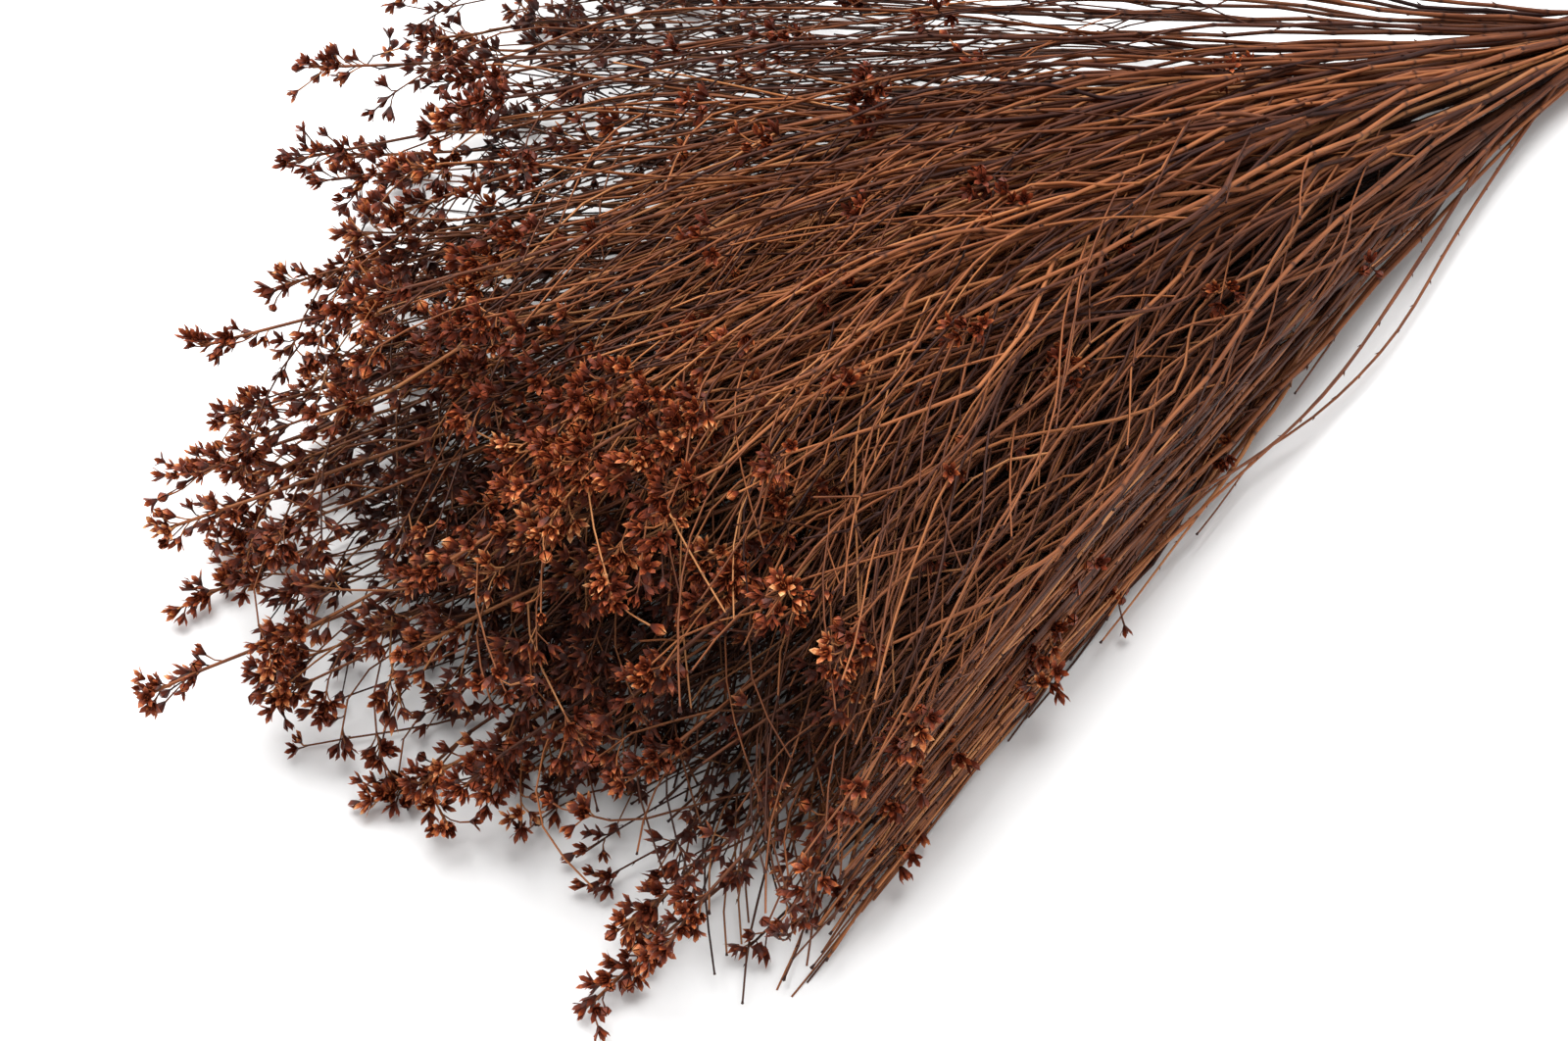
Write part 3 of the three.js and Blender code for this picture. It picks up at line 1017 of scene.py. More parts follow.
    def find_looseness(self) -> float:
        """Find how loosely the bunch is filled here: 0 in its middle and 1 on its far side."""
        spray = self.spray
        q = spray.side * self.bunch.spread_at_blooms[spray.layer]
        behind = q + self.height_counts * (spray.layer + 0.5) / self.bunch.layers
        return smooth((behind - self.far_side[0]) / (self.far_side[1] - self.far_side[0]))

    @property
    def nearness(self) -> float:
        """Give how close to the near edge of the fan the spray is, from 0 to 1."""
        first, last = self.near_side
        return smooth((self.spray.side - first) / (last - first))

    def shade(self, spread: float) -> float:
        """Draw a stalk's tint near the spray's own."""
        return min(1.0, max(0.0, self.rng.gauss(self.colour, spread)))

    def grow(self) -> None:
        """Grow the whole spray."""
        stem = self.grow_stem()
        forks = len(self.spray.forks) - (self.fewer_limbs if self.loose > self.fewer_limbs_from else 0)
        limbs = [self.grow_limb(stem, k) for k in range(forks)]
        if self.loose < self.low_limbs_until:
            limbs += [self.grow_low_limb(stem, k) for k in range(self.low_limbs)]
        if self.loose < self.companion_until:
            limbs.append(self.grow_companion())
        count = self.runners * (1 - self.loose)**self.runners_thin + self.near_more * self.nearness
        runners = [self.grow_runner(stem) for _ in range(round(count))]
        self.grow_shoots(stem, Stalk.STEM)
        for limb in limbs:
            self.grow_shoots(limb, Stalk.LIMB)
        for runner in runners:
            self.grow_shoots(runner, Stalk.RUNNER)
        if self.spray.side < self.stray_side and self.spray.layer in self.stray_layers:
            self.grow_stray(stem)

    def lay(self, stalk: Stalk, knots: list[np.ndarray], radii: list[float]) -> Line:
        """Lay a stalk with its scales, and what its kind has on its end.

        Args:
            stalk: Its kind.
            knots: The points that it passes.
            radii: Its radius at each of them.

        Returns:
            Its line.
        """
        kind = stalk.value
        line = Line.through(knots, radii, kind.spacing, kind.joint_every, kind.joint_swell, self.rng)
        line.softened(kind.eased).kept_inside(self.low, self.high)
        tint = self.shade(kind.tint_spread)
        self.wood.lay_stalk(self.stalks, line, kind.sides, tint)
        self.set_scales(line, tint, kind.scale_size)
        if kind.heads:
            self.end_twig(line, self.rng.choice(kind.heads), kind.least_heads)
        return line

    def grow_stem(self) -> Line:
        """Lay the stem from its cut end, with a cluster on its tip, and give its line."""
        knots = self.spray.stem_knots()
        knots[0] = knots[0] + (knots[1] - knots[0]) * self.rng.uniform(0, self.cut_uneven)
        thick = self.bunch.stem_radius * self.rng.uniform(*self.stem_thickness)
        radii = tapered(thick, self.stem_end_radius, len(knots) - 1, self.stem_taper - self.loose)
        line = self.lay(Stalk.STEM, knots, radii)
        self.grow_cluster(line, self.stem_heads)
        return line

    def grow_companion(self) -> Line:
        """Lay a slender stem beside the spray's own, from the cut ends to the blooms.

        Returns:
            Its line.
        """
        rng, spray = self.rng, self.spray
        side = rng.choice((-1, 1))
        up = rng.choice((-1, 1))
        knots = []
        for s in self.companion_reaches:
            s += 0 if knots else rng.uniform(0, self.companion_uneven)
            own = spray.across_of(s)
            climb = up * smooth(1 - abs(s) / self.companion_climb)
            knots.append(spray.in_room(s, own + side * (1 - abs(own)), climb, 0.1))
        start = self.bunch.spot(knots[-1])
        end = Spot(spray.reach * rng.uniform(*self.companion_end),
                   start.across + rng.gauss(0, self.companion_spread),
                   start.height + rng.gauss(0, self.companion_spread))
        stops = len(self.companion_radii) - len(knots)
        knots += self.flow(start, end, stops, self.companion_ripple, self.companion_drape * rng.random())
        thin = 1 - self.thinner * self.loose
        return self.lay(Stalk.COMPANION, knots, [radius * thin for radius in self.companion_radii])

    def root_on(self, stem: Line, reach: float) -> tuple[np.ndarray, np.ndarray, float]:
        """Find the place on the stem at a reach.

        Args:
            stem: The stem.
            reach: The reach.

        Returns:
            The point, the stem's direction and its radius there.
        """
        reaches = np.array([self.bunch.spot(p).reach if p[0] < 0 else -p[0] for p in stem.points])
        return stem.at(float(np.interp(reach, reaches, stem.travelled)) / stem.travelled[-1])

    def grow_limb(self, stem: Line, k: int) -> Line:
        """Lay one of the frame's twigs.

        Args:
            stem: The stem.
            k: The twig's number.

        Returns:
            Its line.
        """
        root, heading, radius = self.root_on(stem, self.spray.limb_reaches(k)[0])
        bend, end = self.spray.limb_knots(k)
        ahead, aside = self.limb_leaves
        leave = root + heading * ahead * np.linalg.norm(bend - root) + aside * (bend - root)
        first, middle, last = self.limb_radii
        thin = min(1.0, radius / first) * (1 - self.thinner * self.loose)
        radii = [first * thin, first * thin, middle * thin, last]
        return self.lay(Stalk.LIMB, [root, leave, bend, end], radii)

    def grow_low_limb(self, stem: Line, k: int) -> Line:
        """Lay a limb that leaves the stem close to the band and runs as far as the stem does.

        Args:
            stem: The stem.
            k: The limb's number.

        Returns:
            Its line.
        """
        rng, spray = self.rng, self.spray
        start = rng.uniform(*self.low_limb_root)
        knots = [self.root_on(stem, start)[0]]
        side = 1 if (k + spray.number) % 2 else -1
        up = rng.uniform(-self.low_limb_tilt, self.low_limb_tilt)
        end = spray.reach * rng.uniform(*self.low_limb_end)
        for t in self.low_limb_knots:
            opened = smooth(3 * t)
            across = side * rng.uniform(*self.low_limb_across) * opened
            knots.append(spray.in_room(start + (end - start) * t, across, up * opened, 1.3 + 3 * t))
        radii = tapered(*self.low_limb_radii, len(self.low_limb_knots), self.low_limb_taper)
        return self.lay(Stalk.LOW_LIMB, knots, radii)

    def flow(self, start: Spot, end: Spot, stops: int, ripple: float, drape: float) -> list[np.ndarray]:
        """Work out a free twig's way through the bunch.

        Args:
            start: Where it leaves what carries it.
            end: Where it would end if it didn't droop.
            stops: The number of knots after its start.
            ripple: How far it strays from an even way, in fan widths.
            drape: How far it hangs over towards the nearer edge of the fan, from 0 to 1.

        Returns:
            Its knots, without the start.
        """
        rng = self.rng
        phase, turns = rng.uniform(0, 2 * math.pi), rng.uniform(2.5, 6.5)
        crooked = self.crooked * (end.reach - start.reach) / stops
        fall = drape * min(1.0, max(0.0, start.height + 0.2))
        towards = math.tanh((start.across - self.ridge) / 0.2 + rng.gauss(0, 0.3))
        knots = []
        for n in range(1, stops + 1):
            t = n / stops
            stray = ripple * math.sin(turns * t + phase) * t * (1.15 - t)
            hang = fall * t**2.7
            bend = rng.gauss(0, crooked) / self.bunch.half_width(start.reach)
            aside = stray + bend + towards * self.drape_across * hang
            across = (end.across - start.across) * t**0.85 + aside
            height = (end.height - start.height) * t + stray * 1.5 + rng.gauss(0, 0.005) * crooked
            reach = (end.reach - start.reach) * t
            knots.append(self.bunch.point(self.kept(start, reach, across, height - self.drape_down * hang)))
        return knots

    def kept(self, start: Spot, reach: float, across: float, height: float) -> Spot:
        """Move a place, and keep it inside the outline of the bunch.

        Args:
            start: The place.
            reach: How far it moves outwards.
            across: How far it moves across the fan.
            height: How far it moves up.

        Returns:
            Where it comes.
        """
        q = moved(start.across, across, -self.edge, self.edge)
        return Spot(moved(start.reach, reach, 0, 0.985 * self.bunch.limit(q)), q,
                    moved(start.height, height, 0.04, 0.96))

    def grow_runner(self, stem: Line) -> Line:
        """Lay a long slender twig that leaves the stem low down.

        Args:
            stem: The stem.

        Returns:
            Its line.
        """
        rng = self.rng
        root = self.root_on(stem, self.spray.reach * rng.uniform(*self.runner_root))[0]
        start = self.bunch.spot(root)
        least, most = self.runner_end
        end = Spot(self.spray.reach * rng.uniform(least + self.near_longer * self.nearness, most),
                   start.across + rng.gauss(0, self.runner_spread[0]),
                   start.height + rng.gauss(0, self.runner_spread[1]))
        drape = rng.uniform(0, 1) ** self.runner_drape
        knots = [root] + self.flow(start, end, self.runner_stops, self.runner_ripple, drape)
        return self.lay(Stalk.RUNNER, knots, tapered(*self.runner_radii, self.runner_stops))

    def grow_stray(self, stem: Line) -> None:
        """Lay a thin stem that has come away from the near edge and bows out over the table.

        Args:
            stem: The stem that it starts beside.
        """
        rng = self.rng
        start = rng.uniform(*self.stray_root)
        knots = [self.root_on(stem, start)[0]]
        end = self.spray.reach * rng.uniform(*self.stray_end)
        out = rng.uniform(*self.stray_across)
        height = rng.uniform(*self.stray_height)
        for t in self.stray_knots:
            q = -self.edge + out * math.sin(math.pi * min(1.0, 1.2 * t)) + rng.gauss(0, 0.008)
            spot = Spot(start + (end - start) * t, q, height + 0.04 * math.sin(9 * t))
            knots.append(self.bunch.point(spot))
        line = self.lay(Stalk.STRAY, knots, tapered(*self.stray_radii, len(self.stray_knots)))
        self.grow_shoots(line, Stalk.STRAY)
        self.grow_cluster(line, self.stray_heads)

    def end_twig(self, line: Line, count: int, fewest: int) -> None:
        """End a twig with blooms, or with a bud where the bunch is bare.

        Args:
            line: The twig's line.
            count: The number of its blooms.
            fewest: The number that it has where the bunch is bare.
        """
        count = count if self.may_bloom(self.bunch.spot(line.points[-1])) else fewest
        if count:
            self.grow_cluster(line, count)
        else:
            self.set_bud(line)

    def set_bud(self, line: Line) -> None:
        """Set a small bud on a bare twig's end."""
        end, heading = line.points[-1], line.headings[-1]
        if np.all(end > self.low + 1.5) and np.all(end < self.high - 1.5):
            size = self.rng.uniform(0.8, 1.2)
            self.wood.set_copy(self.blooms.bud, end - 0.3 * heading, heading, size, 0.0, 0.2, self.bud_dark)

    def grow_shoots(self, parent: Line, carrier: Stalk) -> None:
        """Lay side shoots along a twig, by turns on either side, with blooms on their ends.

        Args:
            parent: The twig's line.
            carrier: The twig's kind, which says where the first shoot is and how close they stand.
        """
        rng, kind = self.rng, carrier.value
        length = parent.travelled[-1]
        spacing = kind.shoot_every + kind.looser_every * self.loose
        stop = (kind.first_shoot + kind.looser_first * self.loose) * length
        side = rng.choice((-1, 1))
        while stop < self.shoots_until * length:
            root, _, radius = parent.at(stop / length)
            start = self.bunch.spot(root)
            share = start.reach / self.bunch.limit(start.across)
            longest = self.shoot_lengths[1 if rng.random() < self.long_shoots else 0]
            long = rng.uniform(0.4, 1) * longest * (1.15 - 0.5 * share)
            aside = side * long * rng.uniform(*self.shoot_aside) / self.bunch.half_width(start.reach)
            end = Spot(start.reach + long, start.across + aside,
                       start.height + rng.gauss(0, self.shoot_climb))
            least, more = self.shoot_droop
            droop = least + more * smooth((share - 0.6) / 0.25)
            knots = self.flow(start, end, self.shoot_stops, self.shoot_ripple, droop * rng.random())
            first, last = self.shoot_radii
            self.lay(Stalk.SHOOT, [root, *knots], tapered(min(first, 0.8 * radius), last, self.shoot_stops))
            side = -side
            stop += spacing * rng.uniform(0.7, 1.3)

    def may_bloom(self, spot: Spot) -> bool:
        """Draw whether a twig that ends here carries blooms: few do near the band or the near edge."""
        share = spot.reach / self.bunch.limit(spot.across)
        first = self.bloom_from + self.bare_edge * smooth((-0.5 - spot.across) / 0.36)
        first += self.far_bare * smooth((spot.across + 0.3) / 0.3)
        blooms = share > first + self.rng.gauss(0, self.bloom_uneven)
        return blooms or self.rng.random() < self.bloom_anywhere

    def set_scales(self, line: Line, tint: float, size: float) -> None:
        """Set a small pointed scale at each joint of a stalk, or along one that has no joints.

        Args:
            line: The stalk's line.
            tint: The stalk's tint.
            size: The scales' size.
        """
        rng = self.rng
        marks = np.flatnonzero(line.joints) if line.joints.any() else range(1, len(line.points) - 1)
        headings = line.headings
        for n, k in enumerate(marks):
            if rng.random() < self.scale_missing:
                continue
            side, over = beside(headings[k])
            turn = n * math.pi + rng.uniform(-0.7, 0.7)
            out = math.cos(turn) * side + math.sin(turn) * over
            base = line.points[k] + out * line.radii[k] * 0.7
            facing = unit(headings[k] + out * rng.uniform(0.25, 0.7))
            if np.all(base >= self.low + 1.2 * size) and np.all(base <= self.high - 1.2 * size):
                own = size * rng.uniform(0.7, 1.1)
                self.wood.set_copy(self.blooms.scale, base, facing, own, turn, tint, self.scale_dark)

    def grow_cluster(self, twig: Line, count: int) -> None:
        """Set a cluster of blooms, each on its own fine stalk, on the end of a twig.

        Args:
            twig: The twig's line.
            count: The number of blooms.
        """
        rng = self.rng
        length = twig.travelled[-1]
        phase = rng.uniform(0, 2 * math.pi)
        deep = self.bunch.depth(twig.points[-1])
        share = (self.shown - self.hidden * deep) * (1 - self.fewer_heads * self.loose)
        count = max(1, round(count * share))
        for n in range(count):
            back = 0.0 if n == 0 else rng.uniform(0.5, 3.0 + 0.8 * count)
            root, heading, _ = twig.at(max(0.0, 1 - back / length))
            side, over = beside(heading)
            turn = phase + n * GOLDEN_TURN
            lean = rng.uniform(0.05, 0.3) if n == 0 else rng.uniform(0.45, 1.15)
            around = math.cos(turn) * side + math.sin(turn) * over
            facing = math.cos(lean) * heading + math.sin(lean) * around
            long = rng.uniform(1.0, 2.5) if n == 0 else rng.uniform(1.6, 5.5)
            if rng.random() < 0.1:
                long += rng.uniform(3, 9)
            self.set_head(root, heading, unit(facing), long, deep > self.plain_from)

    def set_head(self, root: np.ndarray, heading: np.ndarray, facing: np.ndarray, long: float,
                 plain: bool) -> None:
        """Set one bloom on its stalk.

        Args:
            root: Where the stalk leaves the twig.
            heading: The twig's direction there.
            facing: The stalk's own direction.
            long: The stalk's length.
            plain: Whether the bloom is hidden inside the bunch.
        """
        rng = self.rng
        size = rng.uniform(*self.head_sizes)
        turned = facing + np.array((0, 0, rng.uniform(-0.1, 0.75)))
        elbow = root + (0.35 * heading + 0.65 * facing) * long * 0.5
        tip = elbow + unit(turned) * long * 0.5
        tip = np.clip(tip, self.low + 2.6 * size, self.high - 2.6 * size)
        tint = self.shade(0.25)
        radii = [self.head_stalk_radius * share for share in (1, 0.85, 1.25)]
        if plain:
            line = Line.through([root, tip], radii[:2], 99)
        else:
            line = Line.through([root, elbow, tip], radii, 3)
        self.wood.lay_stalk(self.stalks, line.kept_inside(self.low, self.high), self.head_sides, tint)
        way = unit(line.points[-1] - line.points[-2])
        base = self.held(line.points[-1], way, size)
        head = self.blooms.pick(rng, plain)
        self.heads.set_copy(head, base, way, size, rng.uniform(0, 6.28), tint)
        self.bloom_count += 1

    def held(self, base: np.ndarray, way: np.ndarray, size: float) -> np.ndarray:
        """Move a bloom's neck so that the whole bloom stays inside the frame's box.

        Args:
            base: Where its neck is.
            way: The direction in which it opens.
            size: The bloom's size.

        Returns:
            Where the neck goes.
        """
        top = base + way * self.head_height * size
        width = self.head_half_width * size * np.sqrt(np.clip(1 - way * way, 0, 1)) + 0.05
        low = np.minimum(base, top) - width
        high = np.maximum(base, top) + width
        return base + np.maximum(self.low - low, 0) - np.maximum(high - self.high, 0)

    def finish(self, bark: bpy.types.Material, petal: bpy.types.Material) -> list[bpy.types.Object]:
        """Turn what has grown into the spray's two pieces.

        Args:
            bark: The finish of the wood.
            petal: The finish of the blooms.

        Returns:
            The pieces.
        """
        node = self.spray.node
        return [self.wood.finish(f"{node}_wood", bark, "dried_stem", node),
                self.heads.finish(f"{node}_blooms", petal, "dried_bloom", node)]


@dataclass
class ElasticBand:
    """The elastic band, wound three times round the stems. Sizes are in millimetres."""

    tie: np.ndarray
    stems: np.ndarray
    stem_room: float = 1.5
    turns: int = 3
    turn_width: float = 2.2
    thickness: float = 1.15
    edge_radius: float = 0.42
    segments: int = 120

    def build(self, finish: bpy.types.Material) -> bpy.types.Object:
        """Make the band from turns that are spun round X and then drawn tight round the stems.

        Args:
            finish: Its material.

        Returns:
            The piece.
        """
        bm = bmesh.new()
        for turn in range(self.turns):
            bm.from_mesh(self.spin_turn(turn))
        for vert in bm.verts:
            outward = unit(np.array((vert.co.y, vert.co.z)))
            furthest = self.stems[np.argmax(self.stems @ outward)]
            over = math.hypot(vert.co.y, vert.co.z) - 1
            vert.co.y, vert.co.z = furthest + outward * (self.stem_room + over)
        bmesh.ops.transform(bm, matrix=Matrix.Translation(self.tie) @ Matrix.Scale(MM, 4), verts=bm.verts[:])
        mesh = to_mesh(bm, BAND_NODE + "_turns")
        mesh.shade_smooth()
        return place_piece(mesh, finish, BAND_NODE)

    def spin_turn(self, turn: int) -> bpy.types.Mesh:
        """Make one turn: a strap with round edges, spun once round X.

        Args:
            turn: The turn's number.

        Returns:
            The turn, as a round ring whose inside has a radius of 1.
        """
        off = (turn - (self.turns - 1) / 2) * self.turn_width
        bm = bmesh.new()
        bmesh.ops.create_grid(bm, x_segments=1, y_segments=1, size=0.5)
        bmesh.ops.scale(bm, verts=bm.verts[:], vec=(self.turn_width * 0.97, self.thickness, 1))
        bmesh.ops.translate(bm, verts=bm.verts[:], vec=(off, 1 + self.thickness / 2, 0))
        bmesh.ops.bevel(bm, geom=bm.verts[:], offset=self.edge_radius, offset_type="OFFSET",
                        affect="VERTICES", segments=3, profile=0.5, material=-1)
        bmesh.ops.delete(bm, geom=bm.faces[:], context="FACES_ONLY")
        bmesh.ops.spin(bm, geom=bm.verts[:] + bm.edges[:], cent=(0, 0, 0), axis=(1, 0, 0),
                       angle=2 * math.pi, steps=self.segments, use_merge=True)
        bmesh.ops.recalc_face_normals(bm, faces=bm.faces[:])
        return to_mesh(bm, "turn")


class Shader:
    """A node tree with short calls that add and join its nodes."""

    # The near-black painted shade for the inside of the bunch, and the largest share of it that is laid on.
    PAINTED_SHADE: ClassVar[Colour] = (0.012, 0.004, 0.003, 1)
    PAINTED_SHADE_SHARE: ClassVar[float] = 0.8

    def __init__(self, tree: bpy.types.NodeTree) -> None:
        """Wrap a node tree.

        Args:
            tree: The tree, whose nodes are cleared.
        """
        self.tree = tree
        tree.nodes.clear()

    @classmethod
    def material(cls, name: str) -> tuple["Shader", bpy.types.Material, bpy.types.Node]:
        """Start a material with a Principled shader.

        Args:
            name: The material's name.

        Returns:
            The wrapped tree, the material and the shader node.
        """
        made = bpy.data.materials.new(name)
        made.use_nodes = True
        shader = cls(made.node_tree)
        principled = shader.add("ShaderNodeBsdfPrincipled")
        output = shader.add("ShaderNodeOutputMaterial")
        shader.join(principled.outputs["BSDF"], output.inputs["Surface"])
        return shader, made, principled

    def add(self, kind: str, **settings: object) -> bpy.types.Node:
        """Add a node and set its properties."""
        node = self.tree.nodes.new(kind)
        for name, value in settings.items():
            setattr(node, name, value)
        return node

    def join(self, source: object, target: Socket) -> None:
        """Join an output to an input, or set the input to a plain value."""
        if isinstance(source, Socket):
            self.tree.links.new(source, target)
        else:
            target.default_value = source

    def fill(self, node: bpy.types.Node, values: dict[str, object]) -> bpy.types.Node:
        """Join or set several inputs of a node, and give the node."""
        for name, value in values.items():
            self.join(value, node.inputs[name])
        return node

    def noise(self, place: Socket, scale: float, detail: float) -> Socket:
        """Lay noise over a place."""
        node = self.add("ShaderNodeTexNoise")
        return self.fill(node, {"Vector": place, "Scale": scale, "Detail": detail}).outputs["Fac"]

    def mottling(self, scale: float, detail: float) -> Socket:
        """Lay noise over the object's own coordinates."""
        return self.noise(self.add("ShaderNodeTexCoord").outputs["Object"], scale, detail)

    def bump(self, height: Socket, strength: float, distance: float) -> Socket:
        """Let a height stand out of the surface by a distance in metres, and give the normal."""
        values = {"Strength": strength, "Distance": distance, "Height": height}
        return self.fill(self.add("ShaderNodeBump"), values).outputs["Normal"]

    def attribute(self, name: str, vector: bool = False) -> Socket:
        """Read one of the piece's attributes."""
        node = self.add("ShaderNodeAttribute", attribute_name=name)
        return node.outputs["Vector" if vector else "Fac"]

    def maths(self, operation: str, *values: object, clamp: bool = False) -> Socket:
        """Work something out from up to three values."""
        node = self.add("ShaderNodeMath", operation=operation, use_clamp=clamp)
        for value, target in zip(values, node.inputs):
            self.join(value, target)
        return node.outputs[0]

    def between(self, value: object, low: float, high: float) -> Socket:
        """Spread a value from 0 to 1 over a range."""
        return self.maths("MULTIPLY_ADD", value, high - low, low)

    def ramp(self, value: object, stops: Stops) -> Socket:
        """Pick a colour by a value.

        Args:
            value: The value from 0 to 1.
            stops: The places and their colours.

        Returns:
            The colour.
        """
        node = self.add("ShaderNodeValToRGB")
        elements = node.color_ramp.elements
        while len(elements) < len(stops):
            elements.new(0.5)
        for element, (place, colour) in zip(elements, stops):
            element.position = place
            element.color = (*colour, 1)
        self.join(value, node.inputs["Fac"])
        return node.outputs["Color"]

    def blend(self, factor: object, first: object, second: object, mode: str = "MIX") -> Socket:
        """Mix two colours.

        Args:
            factor: The second colour's share.
            first: The first colour.
            second: The second colour.
            mode: How they are mixed.

        Returns:
            The colour.
        """
        node = self.add("ShaderNodeMix", data_type="RGBA", blend_type=mode, clamp_factor=True)
        self.join(factor, node.inputs["Factor"])
        inputs = [socket for socket in node.inputs if socket.type == "RGBA"]
        self.join(first, inputs[0])
        self.join(second, inputs[1])
        return next(socket for socket in node.outputs if socket.type == "RGBA")

    def with_painted_shade(self, colour: Socket) -> Socket:
        """Darken a colour towards the inside of the bunch, as painted shade where the stalks and blooms hide
        each other from the light.
        """
        share = self.maths("MULTIPLY", self.attribute("deep"), self.PAINTED_SHADE_SHARE)
        return self.blend(share, colour, self.PAINTED_SHADE)


class Grain:
    """A node group for dry plant fibre: streaks along a stalk or a tepal, and larger blotches."""

    def __init__(self) -> None:
        """Build the group."""
        self.tree = bpy.data.node_groups.new("dry_fibre", "ShaderNodeTree")
        face = self.tree.interface
        face.new_socket("Place", in_out="INPUT", socket_type="NodeSocketVector")
        for name in ("Fineness", "Stretch"):
            face.new_socket(name, in_out="INPUT", socket_type="NodeSocketFloat")
        for name in ("Streaks", "Blotches"):
            face.new_socket(name, in_out="OUTPUT", socket_type="NodeSocketFloat")
        shader = Shader(self.tree)
        given = shader.add("NodeGroupInput")
        result = shader.add("NodeGroupOutput")
        shader.join(self.noise(shader, given, 1.0, 3.0), result.inputs["Streaks"])
        shader.join(self.noise(shader, given, 0.22, 2.0), result.inputs["Blotches"])

    @staticmethod
    def noise(shader: Shader, given: bpy.types.Node, share: float, detail: float) -> Socket:
        """Lay noise over the place, drawn out along Z.

        Args:
            shader: The group's tree.
            given: The group's input node.
            share: The noise's fineness, as a share of the group's.
            detail: How much fine detail it has.

        Returns:
            The noise.
        """
        across = shader.maths("MULTIPLY", given.outputs["Fineness"], share)
        along = shader.maths("MULTIPLY", across, given.outputs["Stretch"])
        scale = shader.fill(shader.add("ShaderNodeCombineXYZ"), {"X": across, "Y": across, "Z": along})
        scaled = shader.add("ShaderNodeVectorMath", operation="MULTIPLY")
        shader.join(given.outputs["Place"], scaled.inputs[0])
        shader.join(scale.outputs[0], scaled.inputs[1])
        return shader.noise(scaled.outputs[0], 1.0, detail)

    def use(self, shader: Shader, fineness: float, stretch: float) -> tuple[Socket, Socket]:
        """Place the group in a material.

        Args:
            shader: The material's tree.
            fineness: Streaks to the millimetre, about.
            stretch: Their fineness along the stalk, as a share of that.

        Returns:
            The streaks and the blotches.
        """
        node = shader.add("ShaderNodeGroup", node_tree=self.tree)
        place = shader.attribute("grain", vector=True)
        shader.fill(node, {"Place": place, "Fineness": fineness, "Stretch": stretch})
        return node.outputs["Streaks"], node.outputs["Blotches"]


@dataclass(frozen=True)
class BarkFinish:
    """Dry wiry stalks: copper brown, streaked, darker at their joints, straw-coloured when fine."""

    grain: Grain
    colours: Stops = (
        (0.0, (0.03, 0.01, 0.008)), (0.28, (0.105, 0.033, 0.016)),
        (0.55, (0.3, 0.096, 0.034)), (0.8, (0.47, 0.17, 0.058)), (1.0, (0.6, 0.26, 0.1)))
    stout: Colour = (0.57, 0.55, 0.66, 1)
    joint: Colour = (0.02, 0.008, 0.007, 1)
    pith: Colour = (0.36, 0.21, 0.1, 1)
    fineness: float = 3.2
    stretch: float = 0.06
    gloss: float = 0.18
    roughness: tuple[float, float] = (0.45, 0.7)
    bump: tuple[float, float] = (0.35, 0.0002)

    def build(self) -> bpy.types.Material:
        """Make the material."""
        shader, made, principled = Shader.material("dried_stem")
        streaks, blotches = self.grain.use(shader, self.fineness, self.stretch)
        tint = shader.attribute("tint")
        mixed = shader.maths("ADD", shader.maths("MULTIPLY_ADD", blotches, 0.5, -0.25), tint)
        mixed = shader.maths("MULTIPLY_ADD", streaks, 0.5, shader.maths("ADD", mixed, -0.25), clamp=True)
        colour = shader.ramp(mixed, self.colours)
        thick = shader.maths("SUBTRACT", 1.0, shader.attribute("slim"), clamp=True)
        colour = shader.blend(thick, colour, self.stout, "MULTIPLY")
        ringed = shader.maths("MULTIPLY", shader.maths("POWER", shader.attribute("joint"), 1.6), 0.8)
        colour = shader.blend(ringed, colour, self.joint)
        colour = shader.blend(shader.attribute("ripe"), colour, self.pith)
        # Painted shade darkens the stalks deep inside the bunch.
        shader.fill(principled, {"Base Color": shader.with_painted_shade(colour), "Specular IOR Level": self.gloss,
                                 "Roughness": shader.between(streaks, *self.roughness),
                                 "Normal": shader.bump(streaks, *self.bump)})
        return made


@dataclass(frozen=True)
class PetalFinish:
    """Dry tepals: nearly black at their base and glossy copper at their points, where the brightest copper
    is partly the tepals' own colour and partly a painted highlight.
    """

    grain: Grain
    colours: Stops = (
        (0.0, (0.022, 0.005, 0.003)), (0.36, (0.092, 0.016, 0.007)),
        (0.62, (0.22, 0.038, 0.011)), (0.82, (0.54, 0.15, 0.042)), (1.0, (0.86, 0.45, 0.2)))
    fineness: float = 2.6
    stretch: float = 0.3
    gloss: float = 0.2
    roughness: tuple[float, float] = (0.3, 0.6)
    bump: tuple[float, float] = (0.4, 0.0002)

    def build(self) -> bpy.types.Material:
        """Make the material."""
        shader, made, principled = Shader.material("dried_bloom")
        streaks, blotches = self.grain.use(shader, self.fineness, self.stretch)
        ripe = shader.attribute("ripe")
        share = shader.between(shader.attribute("tint"), 0.5, 1.0)
        # The colour's place on the ramp grows along each tepal and with the floret's tint; its bright end is
        # partly painted highlight.
        tone_and_highlight = shader.maths("MULTIPLY", ripe, share)
        tone_and_highlight = shader.maths("MULTIPLY_ADD", streaks, 0.5, shader.maths("ADD", tone_and_highlight, -0.25))
        tone_and_highlight = shader.maths("MULTIPLY_ADD", blotches, 0.3, shader.maths("ADD", tone_and_highlight, -0.13), clamp=True)
        # Painted shade darkens the blooms deep inside the bunch.
        colour = shader.with_painted_shade(shader.ramp(tone_and_highlight, self.colours))
        shader.fill(principled, {"Base Color": colour, "Specular IOR Level": self.gloss,
                                 "Roughness": shader.between(streaks, *self.roughness),
                                 "Normal": shader.bump(streaks, *self.bump)})
        return made


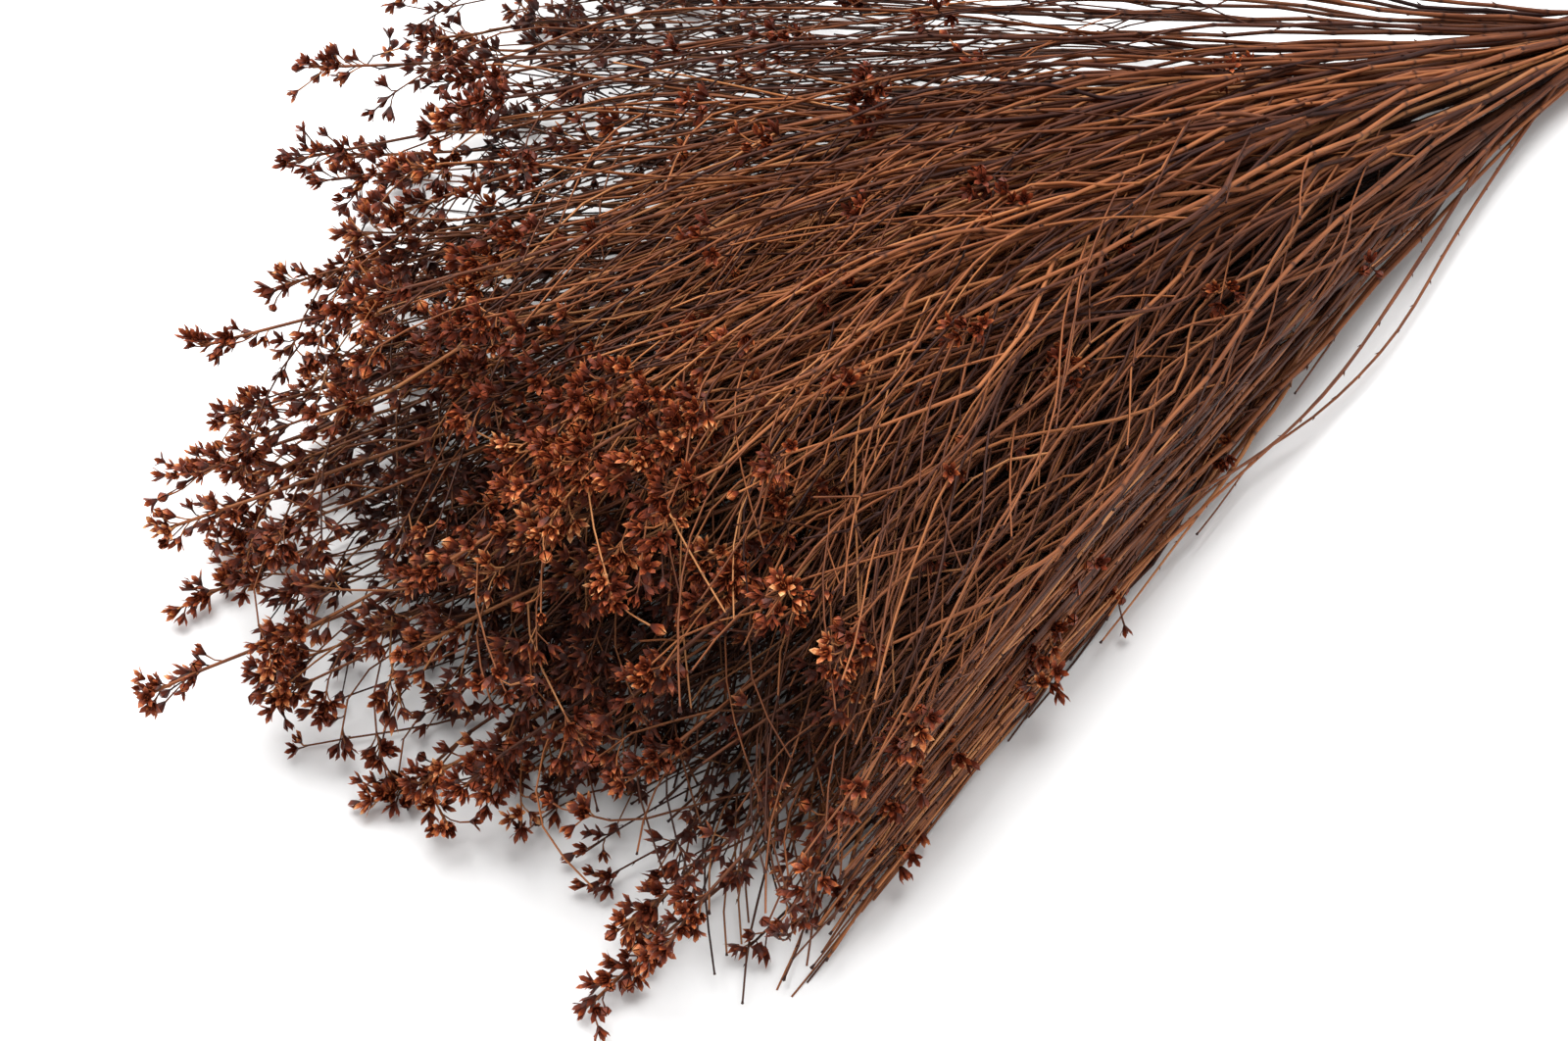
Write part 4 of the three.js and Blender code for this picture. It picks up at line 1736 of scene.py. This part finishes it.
@dataclass(frozen=True)
class RubberFinish:
    """The band's salmon-coloured rubber, a little dusty."""

    colours: Stops = (
        (0.3, (0.52, 0.2, 0.12)), (0.7, (0.66, 0.29, 0.18)))
    noise: tuple[float, float] = (900.0, 4.0)
    roughness: tuple[float, float] = (0.4, 0.65)
    bump: tuple[float, float] = (0.2, 0.0001)

    def build(self) -> bpy.types.Material:
        """Make the material."""
        shader, made, principled = Shader.material("band_rubber")
        value = shader.mottling(*self.noise)
        shader.fill(principled, {"Base Color": shader.ramp(value, self.colours),
                                 "Roughness": shader.between(value, *self.roughness),
                                 "Normal": shader.bump(value, *self.bump)})
        return made


@dataclass(frozen=True)
class FloorFinish:
    """A plain white table top with the faintest mottling."""

    colours: Stops = (
        (0.3, (0.9, 0.9, 0.9)), (0.7, (0.93, 0.93, 0.93)))
    noise: tuple[float, float] = (3.0, 2.0)
    roughness: float = 0.7

    def build(self) -> bpy.types.Material:
        """Make the material."""
        shader, made, principled = Shader.material("table_top")
        colour = shader.ramp(shader.mottling(*self.noise), self.colours)
        shader.fill(principled, {"Base Color": colour, "Roughness": self.roughness})
        return made


@dataclass
class Studio:
    """The table, the light and the camera. Sizes are in metres and angles in degrees."""

    tie: np.ndarray
    floor_size: float = 12.0
    azimuth: float = -23.0
    elevation: float = 48.0
    distance: float = 0.6667
    lens: float = 58.5
    target_from_tie: tuple[float, float, float] = (-0.307, -0.078, 0.0)
    sky: float = 0.7
    key_power: float = 62.0
    key_size: float = 1.8
    key_from: tuple[float, float, float] = (0.1, 0.6, 1.75)

    @property
    def target(self) -> Vector:
        """Give the point that the camera looks at."""
        return Vector(self.tie) + Vector(self.target_from_tie)

    def build(self) -> None:
        """Set the table, the light and the camera."""
        self.lay_floor()
        self.light()
        self.aim_camera()

    def lay_floor(self) -> None:
        """Lay the table top."""
        bm = bmesh.new()
        bmesh.ops.create_grid(bm, x_segments=1, y_segments=1, size=self.floor_size / 2)
        mesh = to_mesh(bm, "table_top")
        mesh.materials.append(FloorFinish().build())
        floor = bpy.data.objects.new("table_top", mesh)
        bpy.context.scene.collection.objects.link(floor)

    def light(self) -> None:
        """Hang one large soft light over the far side, in a white room."""
        scene = bpy.context.scene
        scene.view_settings.view_transform = "Standard"
        world = bpy.data.worlds.new("white_room")
        world.use_nodes = True
        background = world.node_tree.nodes["Background"]
        background.inputs["Color"].default_value = (1, 1, 1, 1)
        background.inputs["Strength"].default_value = self.sky
        scene.world = world
        lamp = bpy.data.lights.new("soft_box", "AREA")
        lamp.shape = "SQUARE"
        lamp.size = self.key_size
        lamp.energy = self.key_power
        self.face_target(lamp, Vector(self.key_from))

    def face_target(self, data: bpy.types.ID, back: Vector) -> bpy.types.Object:
        """Set a light or a camera up so that it faces the target.

        Args:
            data: The light or the camera.
            back: The way from the target to it.

        Returns:
            Its object.
        """
        placed = bpy.data.objects.new(data.name, data)
        placed.location = self.target + back
        placed.rotation_mode = "QUATERNION"
        placed.rotation_quaternion = back.to_track_quat("Z", "Y")
        bpy.context.scene.collection.objects.link(placed)
        return placed

    def aim_camera(self) -> None:
        """Set the camera where the photograph was taken from."""
        a, e = math.radians(self.azimuth), math.radians(self.elevation)
        back = Vector((math.sin(a) * math.cos(e), -math.cos(a) * math.cos(e), math.sin(e)))
        data = bpy.data.cameras.new("photo_camera")
        data.lens = self.lens
        data.clip_start = 0.01
        bpy.context.scene.camera = self.face_target(data, back * self.distance)


def find_tie() -> np.ndarray:
    """Find the tie: the middle of the band, on the table, in metres."""
    low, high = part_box(BAND_NODE)
    return np.array(((low.x + high.x) / 2, (low.y + high.y) / 2, 0.0))


def report(piece: bpy.types.Object) -> int:
    """Log a piece's number of triangles, and give it."""
    count = sum(len(face.vertices) - 2 for face in piece.data.polygons)
    log.info("%s: %d triangles", piece.name, count)
    return count


def main() -> None:
    """Build the studio, the sprays and the band, and report each piece."""
    logging.basicConfig(level=logging.INFO, format="%(message)s")
    tie = find_tie()
    Studio(tie).build()
    grain = Grain()
    bark, petal = BarkFinish(grain).build(), PetalFinish(grain).build()
    bunch, stalks, blooms = Bunch(), StalkStock(), BloomStock()
    number = triangles = heads = 0
    stems = []
    for layer, count in enumerate(bunch.stems_in_layer):
        for column in range(count):
            number += 1
            spray = Spray(bunch, number, layer, column)
            stems.append(spray.in_room(0, 0, 0, 0)[1:])
            growth = Growth(spray, stalks, blooms, tie)
            growth.grow()
            heads += growth.bloom_count
            triangles += sum(report(piece) for piece in growth.finish(bark, petal))
    triangles += report(ElasticBand(tie, np.array(stems)).build(RubberFinish().build()))
    log.info("In all: %d triangles, %d blooms", triangles, heads)


if __name__ == "__main__":
    main()
